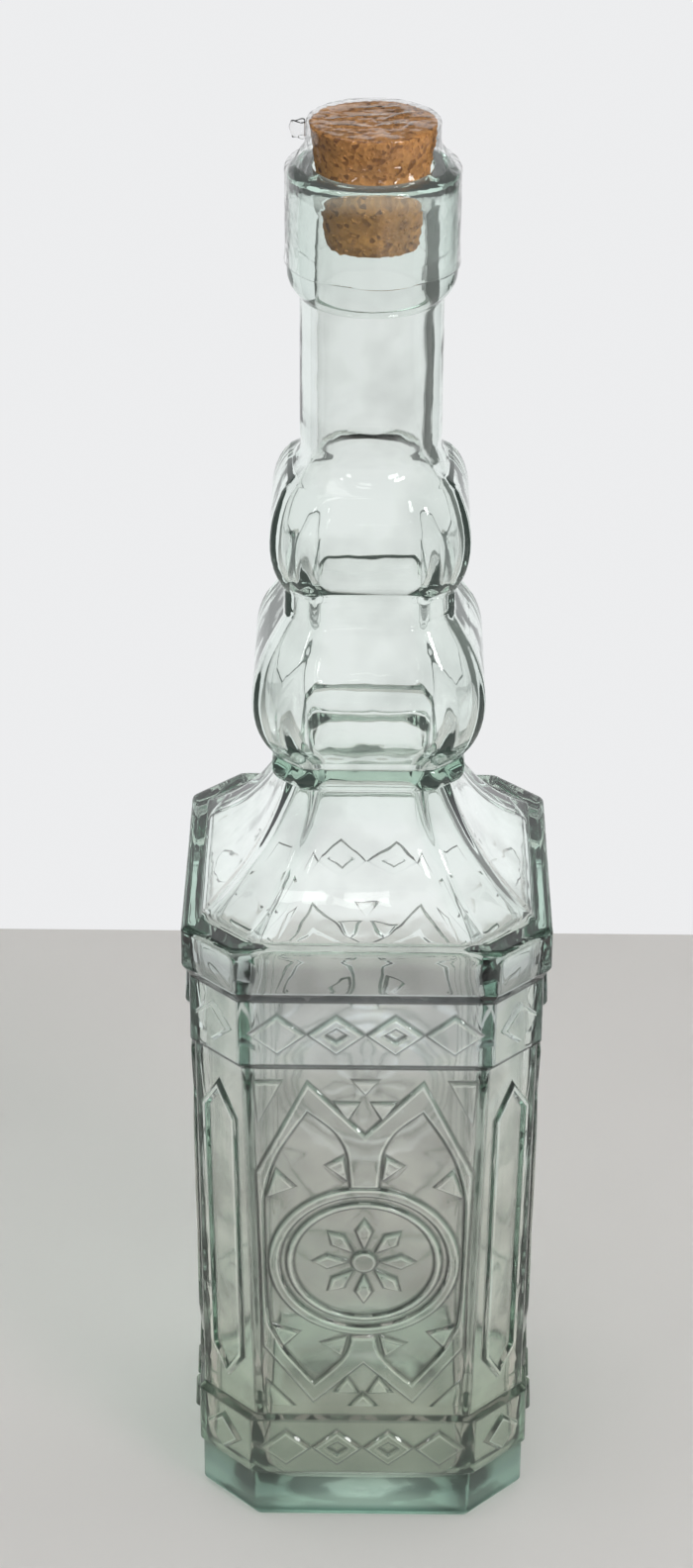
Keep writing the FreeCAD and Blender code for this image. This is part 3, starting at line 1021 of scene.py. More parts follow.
def add_node(tree: Tree, kind: str, feeds: dict[str | int, Feed] | None = None,
             **settings: object) -> Node:
    """Adds a node to a tree.

    Args:
        tree: The tree.
        kind: The node's type.
        feeds: Links and values of its inputs.
        **settings: The node's own settings, made before its inputs are fed.

    Returns:
        The new node.
    """
    node = tree.nodes.new(kind)
    for name, value in settings.items():
        setattr(node, name, value)
    feed(tree, node, feeds or {})
    return node


def maths(tree: Tree, operation: str, *terms: Feed) -> Socket:
    """Calculates with numbers in a node tree."""
    return add_node(tree, "ShaderNodeMath", dict(enumerate(terms)), operation=operation).outputs[0]


def map_range(tree: Tree, value: Feed, old: Point, new: Point = (0.0, 1.0)) -> Socket:
    """Carries a number from one range over to another, held at both ends."""
    feeds = {"Value": value, "From Min": old[0], "From Max": old[1], "To Min": new[0], "To Max": new[1]}
    return add_node(tree, "ShaderNodeMapRange", feeds).outputs["Result"]


def clouds(tree: Tree, place: Feed, scale: Feed, detail: float) -> Socket:
    """Gives soft clouds between 0 and 1 over a surface."""
    return add_node(tree, "ShaderNodeTexNoise", {"Vector": place, "Scale": scale, "Detail": detail}).outputs["Fac"]


def blend(tree: Tree, share: Feed, a: Feed, b: Feed, kind: str = "MIX") -> Socket:
    """Blends two colours, by a share of the second."""
    feeds = {"Factor": share, "A": a, "B": b}
    return add_node(tree, "ShaderNodeMix", feeds, data_type="RGBA", blend_type=kind).outputs["Result"]


def mix_shaders(tree: Tree, share: Feed, a: Feed, b: Feed) -> Socket:
    """Mixes two shaders, by a share of the second."""
    return add_node(tree, "ShaderNodeMixShader", {0: share, 1: a, 2: b}).outputs[0]


def bump(tree: Tree, height: Feed, strength: float, distance: float) -> Socket:
    """Turns heights into the lean of a surface."""
    feeds = {"Height": height, "Strength": strength, "Distance": distance}
    return add_node(tree, "ShaderNodeBump", feeds).outputs["Normal"]


def colour_ramp(tree: Tree, value: Feed, stops: Sequence[tuple[float, Colour]]) -> Socket:
    """Turns a number into a colour.

    Args:
        tree: The tree.
        value: The number, between 0 and 1.
        stops: Place and colour of each stop, in rising order.

    Returns:
        The colour.
    """
    node = add_node(tree, "ShaderNodeValToRGB", {0: value})
    elements = node.color_ramp.elements
    elements.remove(elements[1])
    for number, (place, colour) in enumerate(stops):
        element = elements.new(place) if number else elements[0]
        element.position = place
        element.color = opaque(colour)
    return node.outputs["Color"]


def opaque(colour: Colour) -> tuple[float, float, float, float]:
    """Gives a colour full cover."""
    return (*colour, 1.0)


def new_material(name: str) -> tuple[Material, Tree, Node, Node]:
    """Starts a material with a Principled shader.

    Args:
        name: Name of the material.

    Returns:
        The material, its tree, the shader and the output.
    """
    mat = bpy.data.materials.new(name)
    mat.use_nodes = True
    tree = mat.node_tree
    tree.nodes.clear()
    shader = add_node(tree, "ShaderNodeBsdfPrincipled")
    out = add_node(tree, "ShaderNodeOutputMaterial", {"Surface": shader.outputs["BSDF"]})
    return mat, tree, shader, out


def let_lamps_through(tree: Tree, shader: Node, out: Node, shadow: Colour) -> None:
    """Makes a clear piece throw only a faint shadow.

    Args:
        tree: The material's tree.
        shader: The material's shader.
        out: The material's output.
        shadow: What a lamp's light keeps on its way through a surface.
    """
    path = add_node(tree, "ShaderNodeLightPath").outputs
    clear = add_node(tree, "ShaderNodeBsdfTransparent", {"Color": opaque(shadow)})
    surface = mix_shaders(tree, path["Is Shadow Ray"], shader.outputs["BSDF"], clear.outputs["BSDF"])
    feed(tree, out, {"Surface": surface})


def ripple_group() -> Tree:
    """Makes the shared group that gives slow ripples and faint smears to a smooth surface.

    Returns:
        A node group with the inputs Scale, Roughness and Smear and the outputs Height and Roughness.
    """
    name = "surface_ripple"
    if name in bpy.data.node_groups:
        return bpy.data.node_groups[name]
    group = bpy.data.node_groups.new(name, "ShaderNodeTree")
    for label, value in (("Scale", 60.0), ("Roughness", 0.02), ("Smear", 0.02)):
        group.interface.new_socket(label, in_out="INPUT", socket_type="NodeSocketFloat").default_value = value
    for label in ("Height", "Roughness"):
        group.interface.new_socket(label, in_out="OUTPUT", socket_type="NodeSocketFloat")
    given = add_node(group, "NodeGroupInput").outputs
    place = add_node(group, "ShaderNodeTexCoord").outputs["Object"]
    smear = map_range(group, clouds(group, place, 45.0, 3.0), (0.5, 0.75))
    add_node(group, "NodeGroupOutput", {
        "Height": clouds(group, place, given["Scale"], 1.5),
        "Roughness": maths(group, "MULTIPLY_ADD", smear, given["Smear"], given["Roughness"]),
    })
    return group


@dataclass(frozen=True)
class GlassFinish:
    """Pale green pressed glass, tinted by its depth, that lets lamps through, with painted shade, highlights and glow
    on its near surface. Heights and reaches are in metres.
    """

    tint: Colour = (0.48, 0.83, 0.67)
    density: float = 19.0
    clear: Colour = (0.98, 0.985, 0.975)
    ior: float = 1.5
    shadow: Colour = (0.86, 0.89, 0.88)
    top: float = 0.302
    # Heights over which the painted glow on the lip shows to every ray
    lip: Point = (0.297, 0.2975)
    # Strength of the painted edge lines, and the limits of the tone they leave
    painted_edge_strength: float = 1.15
    edge_range: Point = (0.04, 1.9)
    # Painted highlight glowing along edges that face the light
    gleam: float = 0.13
    gleam_range: Point = (-0.45, -1.2)
    patch_scale: float = 75.0
    patch_range: Point = (0.68, 1.22)
    # Reach and height over which the foot's painted tint and glow fade towards its corners
    foot_reach: Point = (0.0355, 0.0405)
    foot_ends: float = 0.34
    foot_top: Point = (0.0122, 0.0135)
    clouded: float = 0.10
    clouded_range: Point = (0.132, 0.142)
    ripple_scale: float = 85.0
    ripple_strength: float = 0.6
    ripple_distance: float = 0.0004
    smear: float = 0.02

    # Painted shade of the near surface by height: darkest at the heel, dark over the body and the rim, light on the
    # upper band and above the roof's foot
    PAINTED_SHADE_BY_HEIGHT = ((0.008, (0.25, 0.24, 0.24)), (0.0135, (0.17, 0.15, 0.118)), (0.0265, (0.29, 0.25, 0.20)),
            (0.0295, (0.39, 0.32, 0.26)), (0.060, (0.53, 0.48, 0.445)), (0.085, (0.53, 0.485, 0.455)),
            (0.110, (0.61, 0.59, 0.575)), (0.116, (0.61, 0.59, 0.575)), (0.121, (0.92, 0.91, 0.98)),
            (0.135, (0.92, 0.91, 0.98)), (0.138, (0.48, 0.455, 0.475)), (0.144, (0.48, 0.455, 0.475)),
            (0.149, (0.98, 0.985, 0.975)))
    # Painted glow by height: light painted into the foot, a painted sheen on the roof and bulbs, and a glow on the lip
    PAINTED_GLOW = ((0.0018, (0.055, 0.14, 0.105)), (0.0036, (0.225, 0.325, 0.27)), (0.0055, (0.22, 0.315, 0.26)),
                (0.0075, (0.13, 0.19, 0.16)), (0.0105, (0.12, 0.17, 0.14)), (0.0135, (0.035, 0.042, 0.036)),
                (0.030, (0.02, 0.024, 0.02)), (0.060, (0.0, 0.0, 0.0)), (0.1475, (0.0, 0.0, 0.0)),
                (0.152, (0.125, 0.125, 0.128)), (0.166, (0.10, 0.10, 0.105)), (0.174, (0.035, 0.05, 0.043)),
                (0.240, (0.035, 0.05, 0.043)), (0.247, (0.0, 0.0, 0.0)), (0.2975, (0.0, 0.0, 0.0)),
                (0.2998, (0.07, 0.08, 0.075)))

    def by_height(self, tree: Tree, height: Feed,
                  stops: Sequence[tuple[float, Colour]]) -> Socket:
        """Gives the colour that a table has for a height."""
        level = map_range(tree, height, (0.0, self.top))
        return colour_ramp(tree, level, [(stop / self.top, colour) for stop, colour in stops])

    def foot_share(self, tree: Tree, place: Feed, height: Feed) -> Socket:
        """Gives the share of the painted tint and glow that the foot keeps: less towards the foot's corners, all of it
        above the foot.

        Args:
            tree: The material's tree.
            place: Place on the bottle.
            height: Its height.

        Returns:
            A share of 1.
        """
        flat = add_node(tree, "ShaderNodeVectorMath", {0: place, 1: (1.0, 1.0, 0.0)}, operation="MULTIPLY").outputs[0]
        reach = add_node(tree, "ShaderNodeVectorMath", {0: flat}, operation="LENGTH").outputs["Value"]
        ends = map_range(tree, reach, self.foot_reach, (1.0, self.foot_ends))
        return maths(tree, "MAXIMUM", ends, map_range(tree, height, self.foot_top))

    def near_tint(self, tree: Tree, place: Feed, height: Feed, edge: Feed,
                  foot: Feed) -> Socket:
        """Gives the painted shade of the near surface by height, with soft patches and with painted shade and
        highlight lines along the relief's edges.

        Args:
            tree: The material's tree.
            place: Place on the bottle.
            height: Its height.
            edge: Painted shade of the relief's edges, a painted highlight below 0.
            foot: Share of the painted tint and glow that the foot keeps.

        Returns:
            The tint.
        """
        low, high = self.edge_range
        lines = maths(tree, "MULTIPLY_ADD", edge, -self.painted_edge_strength, 1.0)
        lines = add_node(tree, "ShaderNodeClamp", {"Value": lines, "Min": low, "Max": high}).outputs[0]
        patches = map_range(tree, clouds(tree, place, self.patch_scale, 2.0), (0.3, 0.7), self.patch_range)
        tone = maths(tree, "MULTIPLY", maths(tree, "MULTIPLY", lines, patches), foot)
        return blend(tree, 1.0, self.by_height(tree, height, self.PAINTED_SHADE_BY_HEIGHT), tone, "MULTIPLY")

    def material(self) -> Material:
        """Builds the glass.

        Returns:
            The material.
        """
        mat, tree, shader, out = new_material("pale_green_glass")
        place = add_node(tree, "ShaderNodeTexCoord").outputs["Object"]
        height = add_node(tree, "ShaderNodeSeparateXYZ", {0: place}).outputs["Z"]
        edge = add_node(tree, "ShaderNodeAttribute", attribute_name="edge_shade").outputs["Fac"]
        seen = add_node(tree, "ShaderNodeLightPath").outputs["Is Camera Ray"]
        foot = self.foot_share(tree, place, height)
        # Painted highlight along the lit edges
        gleam = map_range(tree, edge, self.gleam_range, (0.0, self.gleam))
        # Painted glow: the camera sees it everywhere, every ray sees it on the lip
        glows = maths(tree, "MAXIMUM", seen, map_range(tree, height, self.lip))
        clouded = map_range(tree, height, self.clouded_range, (self.clouded, 0.0))
        feeds = {"Scale": self.ripple_scale, "Roughness": 0.0, "Smear": self.smear}
        ripple = add_node(tree, "ShaderNodeGroup", feeds, node_tree=ripple_group()).outputs
        # The camera sees the painted shade and lines; other rays see the clear glass
        feed(tree, shader, {
            "Base Color": blend(tree, seen, opaque(self.clear), self.near_tint(tree, place, height, edge, foot)),
            "Transmission Weight": 1.0,
            "IOR": self.ior,
            "Emission Color": blend(tree, 1.0, self.by_height(tree, height, self.PAINTED_GLOW), gleam, "ADD"),
            "Emission Strength": maths(tree, "MULTIPLY", glows, foot),
            "Roughness": maths(tree, "MULTIPLY_ADD", clouded, maths(tree, "SUBTRACT", 1.0, seen), ripple["Roughness"]),
            "Normal": bump(tree, ripple["Height"], self.ripple_strength, self.ripple_distance),
        })
        let_lamps_through(tree, shader, out, self.shadow)
        depth = add_node(tree, "ShaderNodeVolumeAbsorption", {"Color": opaque(self.tint), "Density": self.density})
        feed(tree, out, {"Volume": depth.outputs["Volume"]})
        return mat


def revolve(profile: Sequence[Point], columns: int) -> tuple[np.ndarray, list[list[int]]]:
    """Turns an outline about Z.

    Args:
        profile: Radius and height of each level; a radius of 0 is a pole.
        columns: How many columns go round.

    Returns:
        The points and the faces.
    """
    points: list[tuple[float, float, float]] = []
    rows: list[list[int]] = []
    for r, z in profile:
        if r <= 0:
            rows.append([len(points)] * columns)
            points.append((0.0, 0.0, z))
            continue
        rows.append([len(points) + k for k in range(columns)])
        points += [(r * math.cos(2 * math.pi * k / columns), r * math.sin(2 * math.pi * k / columns), z)
                   for k in range(columns)]
    faces = []
    for a, b in zip(rows, rows[1:]):
        for k in range(columns):
            cell = [a[k], a[(k + 1) % columns], b[(k + 1) % columns], b[k]]
            faces.append(list(dict.fromkeys(cell)))
    return np.array(points), faces


@dataclass
class CorkStopper:
    """The tapered cork, with worn edges, pits and grains that stand out of its skin."""

    top_radius: float = 12.7
    foot_radius: float = 9.1
    foot_z: float = 286.8
    height: float = 24.0
    edge: float = 0.9
    columns: int = 120
    run: float = 0.7
    support: float = 0.3

    # Inputs of the grain tree: pits and wear in metres, grains to the square metre
    GRAIN = {"Pit Depth": 0.0003, "Pit Scale": 520.0, "Wear": 0.0004, "Grains": 250000.0, "Grain Size": 0.0005,
             "Seed": 7}
    # A grain's smallest and largest length, width and height, in grain sizes
    FLATTEST = (0.5, 0.4, 0.12)
    FULLEST = (1.4, 1.1, 0.3)

    def base_mesh(self) -> Mesh:
        """Turns the plain cork.

        Returns:
            The mesh.
        """
        top = self.foot_z + self.height
        knots = [Knot(0.0, self.foot_z), Knot(self.foot_radius, self.foot_z, self.edge),
                 Knot(self.top_radius, top, self.edge), Knot(0.0, top)]
        outline = with_supports(rounded(knots, 6), self.run, self.support)
        points, faces = revolve(outline, self.columns)
        return mesh_from("cork_base", points, faces)

    def grain_tree(self, material: Material) -> Tree:
        """Builds the node tree that pits the cork and sets grains into it.

        Args:
            material: The cork.

        Returns:
            The tree, with inputs for the pits' depth and size and the grains' number and size.
        """
        tree = bpy.data.node_groups.new("cork_grain", "GeometryNodeTree")
        face = tree.interface
        face.new_socket("Geometry", in_out="INPUT", socket_type="NodeSocketGeometry")
        for label, value in self.GRAIN.items():
            kind = "NodeSocketInt" if isinstance(value, int) else "NodeSocketFloat"
            face.new_socket(label, in_out="INPUT", socket_type=kind)
        face.new_socket("Geometry", in_out="OUTPUT", socket_type="NodeSocketGeometry")
        given = add_node(tree, "NodeGroupInput").outputs
        seed = {"Seed": given["Seed"]}
        place = add_node(tree, "GeometryNodeInputPosition").outputs[0]
        normal = add_node(tree, "GeometryNodeInputNormal").outputs[0]
        cells = add_node(tree, "ShaderNodeTexVoronoi", {"Vector": place, "Scale": given["Pit Scale"]})
        pits = map_range(tree, cells.outputs["Distance"], (0.05, 0.55), (0.0, -1.0))
        wear = maths(tree, "SUBTRACT", clouds(tree, place, 170.0, 4.0), 0.62)
        worn = maths(tree, "MULTIPLY_ADD", wear, given["Wear"], maths(tree, "MULTIPLY", pits, given["Pit Depth"]))
        shift = add_node(tree, "ShaderNodeVectorMath", {0: normal, "Scale": worn}, operation="SCALE").outputs[0]
        body = add_node(tree, "GeometryNodeSetPosition", {"Geometry": given["Geometry"], "Offset": shift}).outputs[0]
        spots = {"Mesh": body, "Density": given["Grains"], **seed}
        scatter = add_node(tree, "GeometryNodeDistributePointsOnFaces", spots).outputs
        grain = add_node(tree, "GeometryNodeMeshIcoSphere", {"Subdivisions": 1, "Radius": given["Grain Size"]})
        size = add_node(tree, "FunctionNodeRandomValue", {"Min": self.FLATTEST, "Max": self.FULLEST, **seed},
                        data_type="FLOAT_VECTOR")
        spin = add_node(tree, "FunctionNodeRandomValue", {3: 2 * math.pi, **seed}, data_type="FLOAT")
        angle = add_node(tree, "FunctionNodeAxisAngleToRotation", {"Angle": spin.outputs[1]}).outputs[0]
        turn = add_node(tree, "FunctionNodeRotateRotation", {0: scatter["Rotation"], 1: angle}, rotation_space="LOCAL")
        grains = add_node(tree, "GeometryNodeInstanceOnPoints", {
            "Points": scatter["Points"], "Instance": grain.outputs["Mesh"], "Rotation": turn.outputs[0],
            "Scale": size.outputs[0],
        })
        join = add_node(tree, "GeometryNodeJoinGeometry", {0: body})
        feed(tree, join, {0: grains.outputs["Instances"]})
        real = add_node(tree, "GeometryNodeRealizeInstances", {0: join.outputs[0]})
        dress = add_node(tree, "GeometryNodeSetMaterial", {"Geometry": real.outputs[0], "Material": material})
        add_node(tree, "NodeGroupOutput", {0: dress.outputs[0]})
        return tree

    def build(self, finish: "CorkFinish") -> Object:
        """Builds the cork, dresses it and puts it in the frame.

        Args:
            finish: The cork's finish.

        Returns:
            The new piece.
        """
        source = make_object("cork_source", self.base_mesh())
        modifier = source.modifiers.new("grain", "NODES")
        modifier.node_group = self.grain_tree(finish.material())
        for socket in modifier.node_group.interface.items_tree:
            if socket.in_out == "INPUT" and socket.name in self.GRAIN:
                modifier[socket.identifier] = self.GRAIN[socket.name]
        obj = make_object("cork_stopper_dressed", shown_mesh(source, "cork_stopper_dressed"))
        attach(obj, "cork")
        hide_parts("cork_stopper")
        return obj


@dataclass(frozen=True)
class CorkFinish:
    """Agglomerate cork: warm grains with dark specks, in a dull skin."""

    light: Colour = (0.60, 0.285, 0.083)
    middle: Colour = (0.43, 0.19, 0.052)
    dark: Colour = (0.22, 0.088, 0.028)
    middle_at: float = 0.22
    light_at: float = 0.9
    grain_scale: float = 1150.0
    patch_scale: float = 140.0
    patch_range: Point = (0.62, 1.15)
    roughness: float = 0.82
    gloss: float = 0.3
    bump_strength: float = 0.5
    bump_distance: float = 0.0004

    def material(self) -> Material:
        """Builds the cork.

        Returns:
            The material.
        """
        mat, tree, shader, _ = new_material("agglomerate_cork")
        place = add_node(tree, "ShaderNodeTexCoord").outputs["Object"]
        cells = add_node(tree, "ShaderNodeTexVoronoi", {"Vector": place, "Scale": self.grain_scale}).outputs
        pick = add_node(tree, "ShaderNodeSeparateColor", {0: cells["Color"]}).outputs[0]
        stops = ((0.0, self.dark), (self.middle_at, self.middle), (self.light_at, self.light))
        patches = map_range(tree, clouds(tree, place, self.patch_scale, 5.0), (0.3, 0.7), self.patch_range)
        feed(tree, shader, {
            "Base Color": blend(tree, 1.0, colour_ramp(tree, pick, stops), patches, "MULTIPLY"),
            "Roughness": self.roughness,
            "Specular IOR Level": self.gloss,
            "Normal": bump(tree, cells["Distance"], self.bump_strength, self.bump_distance),
        })
        return mat


@dataclass
class ShrinkFilm:
    """The clear film over cork and collar, drawn tight, with pleats over the lip and a welded ear."""

    cap_radius: float = 12.9
    cap_z: float = 311.05
    sleeve_radius: float = 16.95
    lip_z: float = 302.3
    hem_z: float = 283.0
    fold_radius: float = 14.75
    cap_foot_z: float = 305.9
    thickness: float = 0.12
    columns: int = 168
    run: float = 0.55
    support: float = 0.2
    pleat: float = 0.9
    pleat_z: float = 303.8
    pleat_run: float = 2.2
    slack: float = 0.16
    cap_slack: float = 0.25
    fold_waver: float = 0.35
    hem_flare: float = 0.25
    hem_run: float = 1.5
    hem_wave: float = 0.7
    ear_z: float = 307.4
    ear_height: float = 3.5
    ear_reach: float = 2.9
    ear_gap: float = 0.25
    ear_half: float = 0.55
    ear_crumple: float = 0.35
    ear_lean: float = 0.6
    ear_rows: int = 9
    ear_columns: int = 40

    # Folds on the cap: middle, direction, half-length, half-width and height
    FOLDS = ((-3.2, 0.6, 0.22, 6.0, 0.5, 0.38), (4.4, 1.2, 0.75, 4.2, 0.9, 0.42), (3.4, -3.6, 0.35, 3.6, 0.8, 0.40),
             (-4.6, -4.4, -0.2, 4.4, 0.8, 0.34), (7.0, -4.0, 1.2, 3.0, 0.6, 0.36), (0.6, 6.2, 0.1, 5.0, 0.6, 0.34))

    def outline(self) -> list[Point]:
        """Draws the film's inner surface.

        Returns:
            Radii and heights, from the hem to the middle of the cap.
        """
        knots = [Knot(self.sleeve_radius, self.hem_z), Knot(self.sleeve_radius, self.lip_z - 0.4, 3.6),
                 Knot(self.fold_radius, self.lip_z + 0.35, 0.8), Knot(self.cap_radius, self.cap_foot_z, 1.4),
                 Knot(self.cap_radius, self.cap_z, 0.8), Knot(0.0, self.cap_z)]
        return with_supports(rounded(knots, 6), self.run, self.support)

    def wrinkle(self, turn: float, z: float) -> float:
        """Gives how far the film stands off at a place.

        Args:
            turn: Angle round the axis.
            z: Height.

        Returns:
            A distance outward, never inward.
        """
        here = Vector((math.cos(turn) * 2.2, math.sin(turn) * 2.2, z * 0.09))
        pleats = 0.5 + 0.5 * noise.noise(here * 2.6)
        gather = math.exp(-((z - self.pleat_z) / self.pleat_run) ** 2)
        low = self.slack * max(0.0, noise.noise(here * 1.3 + Vector((5.0, 1.0, 2.0))))
        hem = self.hem_flare * math.exp(-(z - self.hem_z) / self.hem_run) * (0.5 + 0.5 * noise.noise(here * 1.8))
        return self.pleat * gather * pleats + low + hem

    def crease(self, x: float, y: float) -> float:
        """Gives how high the film's folds stand on the cap.

        Args:
            x: Place to the right of the axis.
            y: Place behind the axis.

        Returns:
            A height, never below the plain cap.
        """
        slow = self.cap_slack * max(0.0, noise.noise(Vector((x * 0.35, y * 0.12, 3.0))))
        folds = 0.0
        for at_x, at_y, turn, reach, width, rise in self.FOLDS:
            along = (x - at_x) * math.cos(turn) + (y - at_y) * math.sin(turn)
            aside = (y - at_y) * math.cos(turn) - (x - at_x) * math.sin(turn)
            aside += self.fold_waver * noise.noise(Vector((x * 0.7, y * 0.7, rise * 9.0)))
            folds = max(folds, rise * max(0.0, 1 - abs(aside) / width) * max(0.0, 1 - (along / reach) ** 2))
        return slow + folds

    def build_mesh(self) -> Mesh:
        """Builds the film's inner skin, facing outward.

        Returns:
            The mesh.
        """
        points, faces = revolve(self.outline(), self.columns)
        skin = points.copy()
        for k, p in enumerate(points):
            radius = math.hypot(p[0], p[1])
            turn = math.atan2(p[1], p[0])
            if p[2] > self.cap_z - 0.05:
                skin[k, 2] += self.crease(p[0], p[1]) * min(1.0, (self.cap_radius - radius) / 2)
                continue
            push = self.wrinkle(turn, p[2])
            skin[k, 0] += push * math.cos(turn)
            skin[k, 1] += push * math.sin(turn)
            if abs(p[2] - self.hem_z) < 0.01:
                skin[k, 2] += self.hem_wave * noise.noise(Vector((math.cos(turn) * 1.5, math.sin(turn) * 1.5, 0.0)))
        bm = bmesh.new()
        bm.from_mesh(mesh_from("film_skin", skin, faces))
        bmesh.ops.recalc_face_normals(bm, faces=bm.faces)
        top = max(bm.faces, key=lambda f: f.calc_center_median().z)
        if top.normal.z < 0:
            bmesh.ops.reverse_faces(bm, faces=bm.faces)
        mesh = bpy.data.meshes.new("shrink_film_dressed")
        bm.to_mesh(mesh)
        bm.free()
        return mesh

    def ear_mesh(self) -> Mesh:
        """Builds the welded ear: a small crumpled loop of the same film beside the cap.

        Returns:
            The mesh.
        """
        rows, steps = self.ear_rows, self.ear_columns
        points = []
        for row in range(rows):
            share = row / (rows - 1)
            z = self.ear_z + self.ear_height * share
            reach = self.ear_reach - abs(share - 0.6)
            for k in range(steps):
                turn = 2 * math.pi * k / steps
                x = -self.cap_radius - self.ear_gap - reach * (0.5 - 0.5 * math.cos(turn))
                y = self.ear_half * math.sin(turn) + self.ear_crumple * noise.noise(Vector((x * 0.6, z * 0.5, 4.0)))
                points.append((x, y - self.ear_lean * share, z + 0.25 * math.sin(2 * turn)))
        faces = [[r * steps + k, r * steps + (k + 1) % steps, (r + 1) * steps + (k + 1) % steps, (r + 1) * steps + k]
                 for r in range(rows - 1) for k in range(steps)]
        return mesh_from("film_ear", np.array(points), faces)

    def build(self, finish: "FilmFinish") -> Object:
        """Builds the film, dresses it and puts it in the frame.

        Args:
            finish: The film's finish.

        Returns:
            The new piece.
        """
        bm = bmesh.new()
        bm.from_mesh(self.build_mesh())
        bm.from_mesh(self.ear_mesh())
        skin = bpy.data.meshes.new("film_skins")
        bm.to_mesh(skin)
        bm.free()
        source = make_object("film_source", skin)
        thick = source.modifiers.new("thickness", "SOLIDIFY")
        thick.thickness = self.thickness * MM
        thick.offset = 1.0
        mesh = shown_mesh(source, "shrink_film_dressed")
        mesh.materials.append(finish.material())
        obj = make_object("shrink_film_dressed", mesh)
        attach(obj, "film")
        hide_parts("shrink_film")
        return obj


@dataclass(frozen=True)
class FilmFinish:
    """Thin clear film that shows mostly by its gloss."""

    clear: Colour = (1.0, 1.0, 1.0)
    ior: float = 1.38
    shadow: Colour = (0.96, 0.96, 0.96)
    ripple_scale: float = 240.0
    ripple_strength: float = 0.8
    ripple_distance: float = 0.0006
    roughness: float = 0.02
    smear: float = 0.05

    def material(self) -> Material:
        """Builds the film.

        Returns:
            The material.
        """
        mat, tree, shader, out = new_material("clear_film")
        feeds = {"Scale": self.ripple_scale, "Roughness": self.roughness, "Smear": self.smear}
        ripple = add_node(tree, "ShaderNodeGroup", feeds, node_tree=ripple_group()).outputs
        feed(tree, shader, {
            "Base Color": opaque(self.clear),
            "Transmission Weight": 1.0,
            "IOR": self.ior,
            "Roughness": ripple["Roughness"],
            "Normal": bump(tree, ripple["Height"], self.ripple_strength, self.ripple_distance),
        })
        let_lamps_through(tree, shader, out, self.shadow)
        return mat


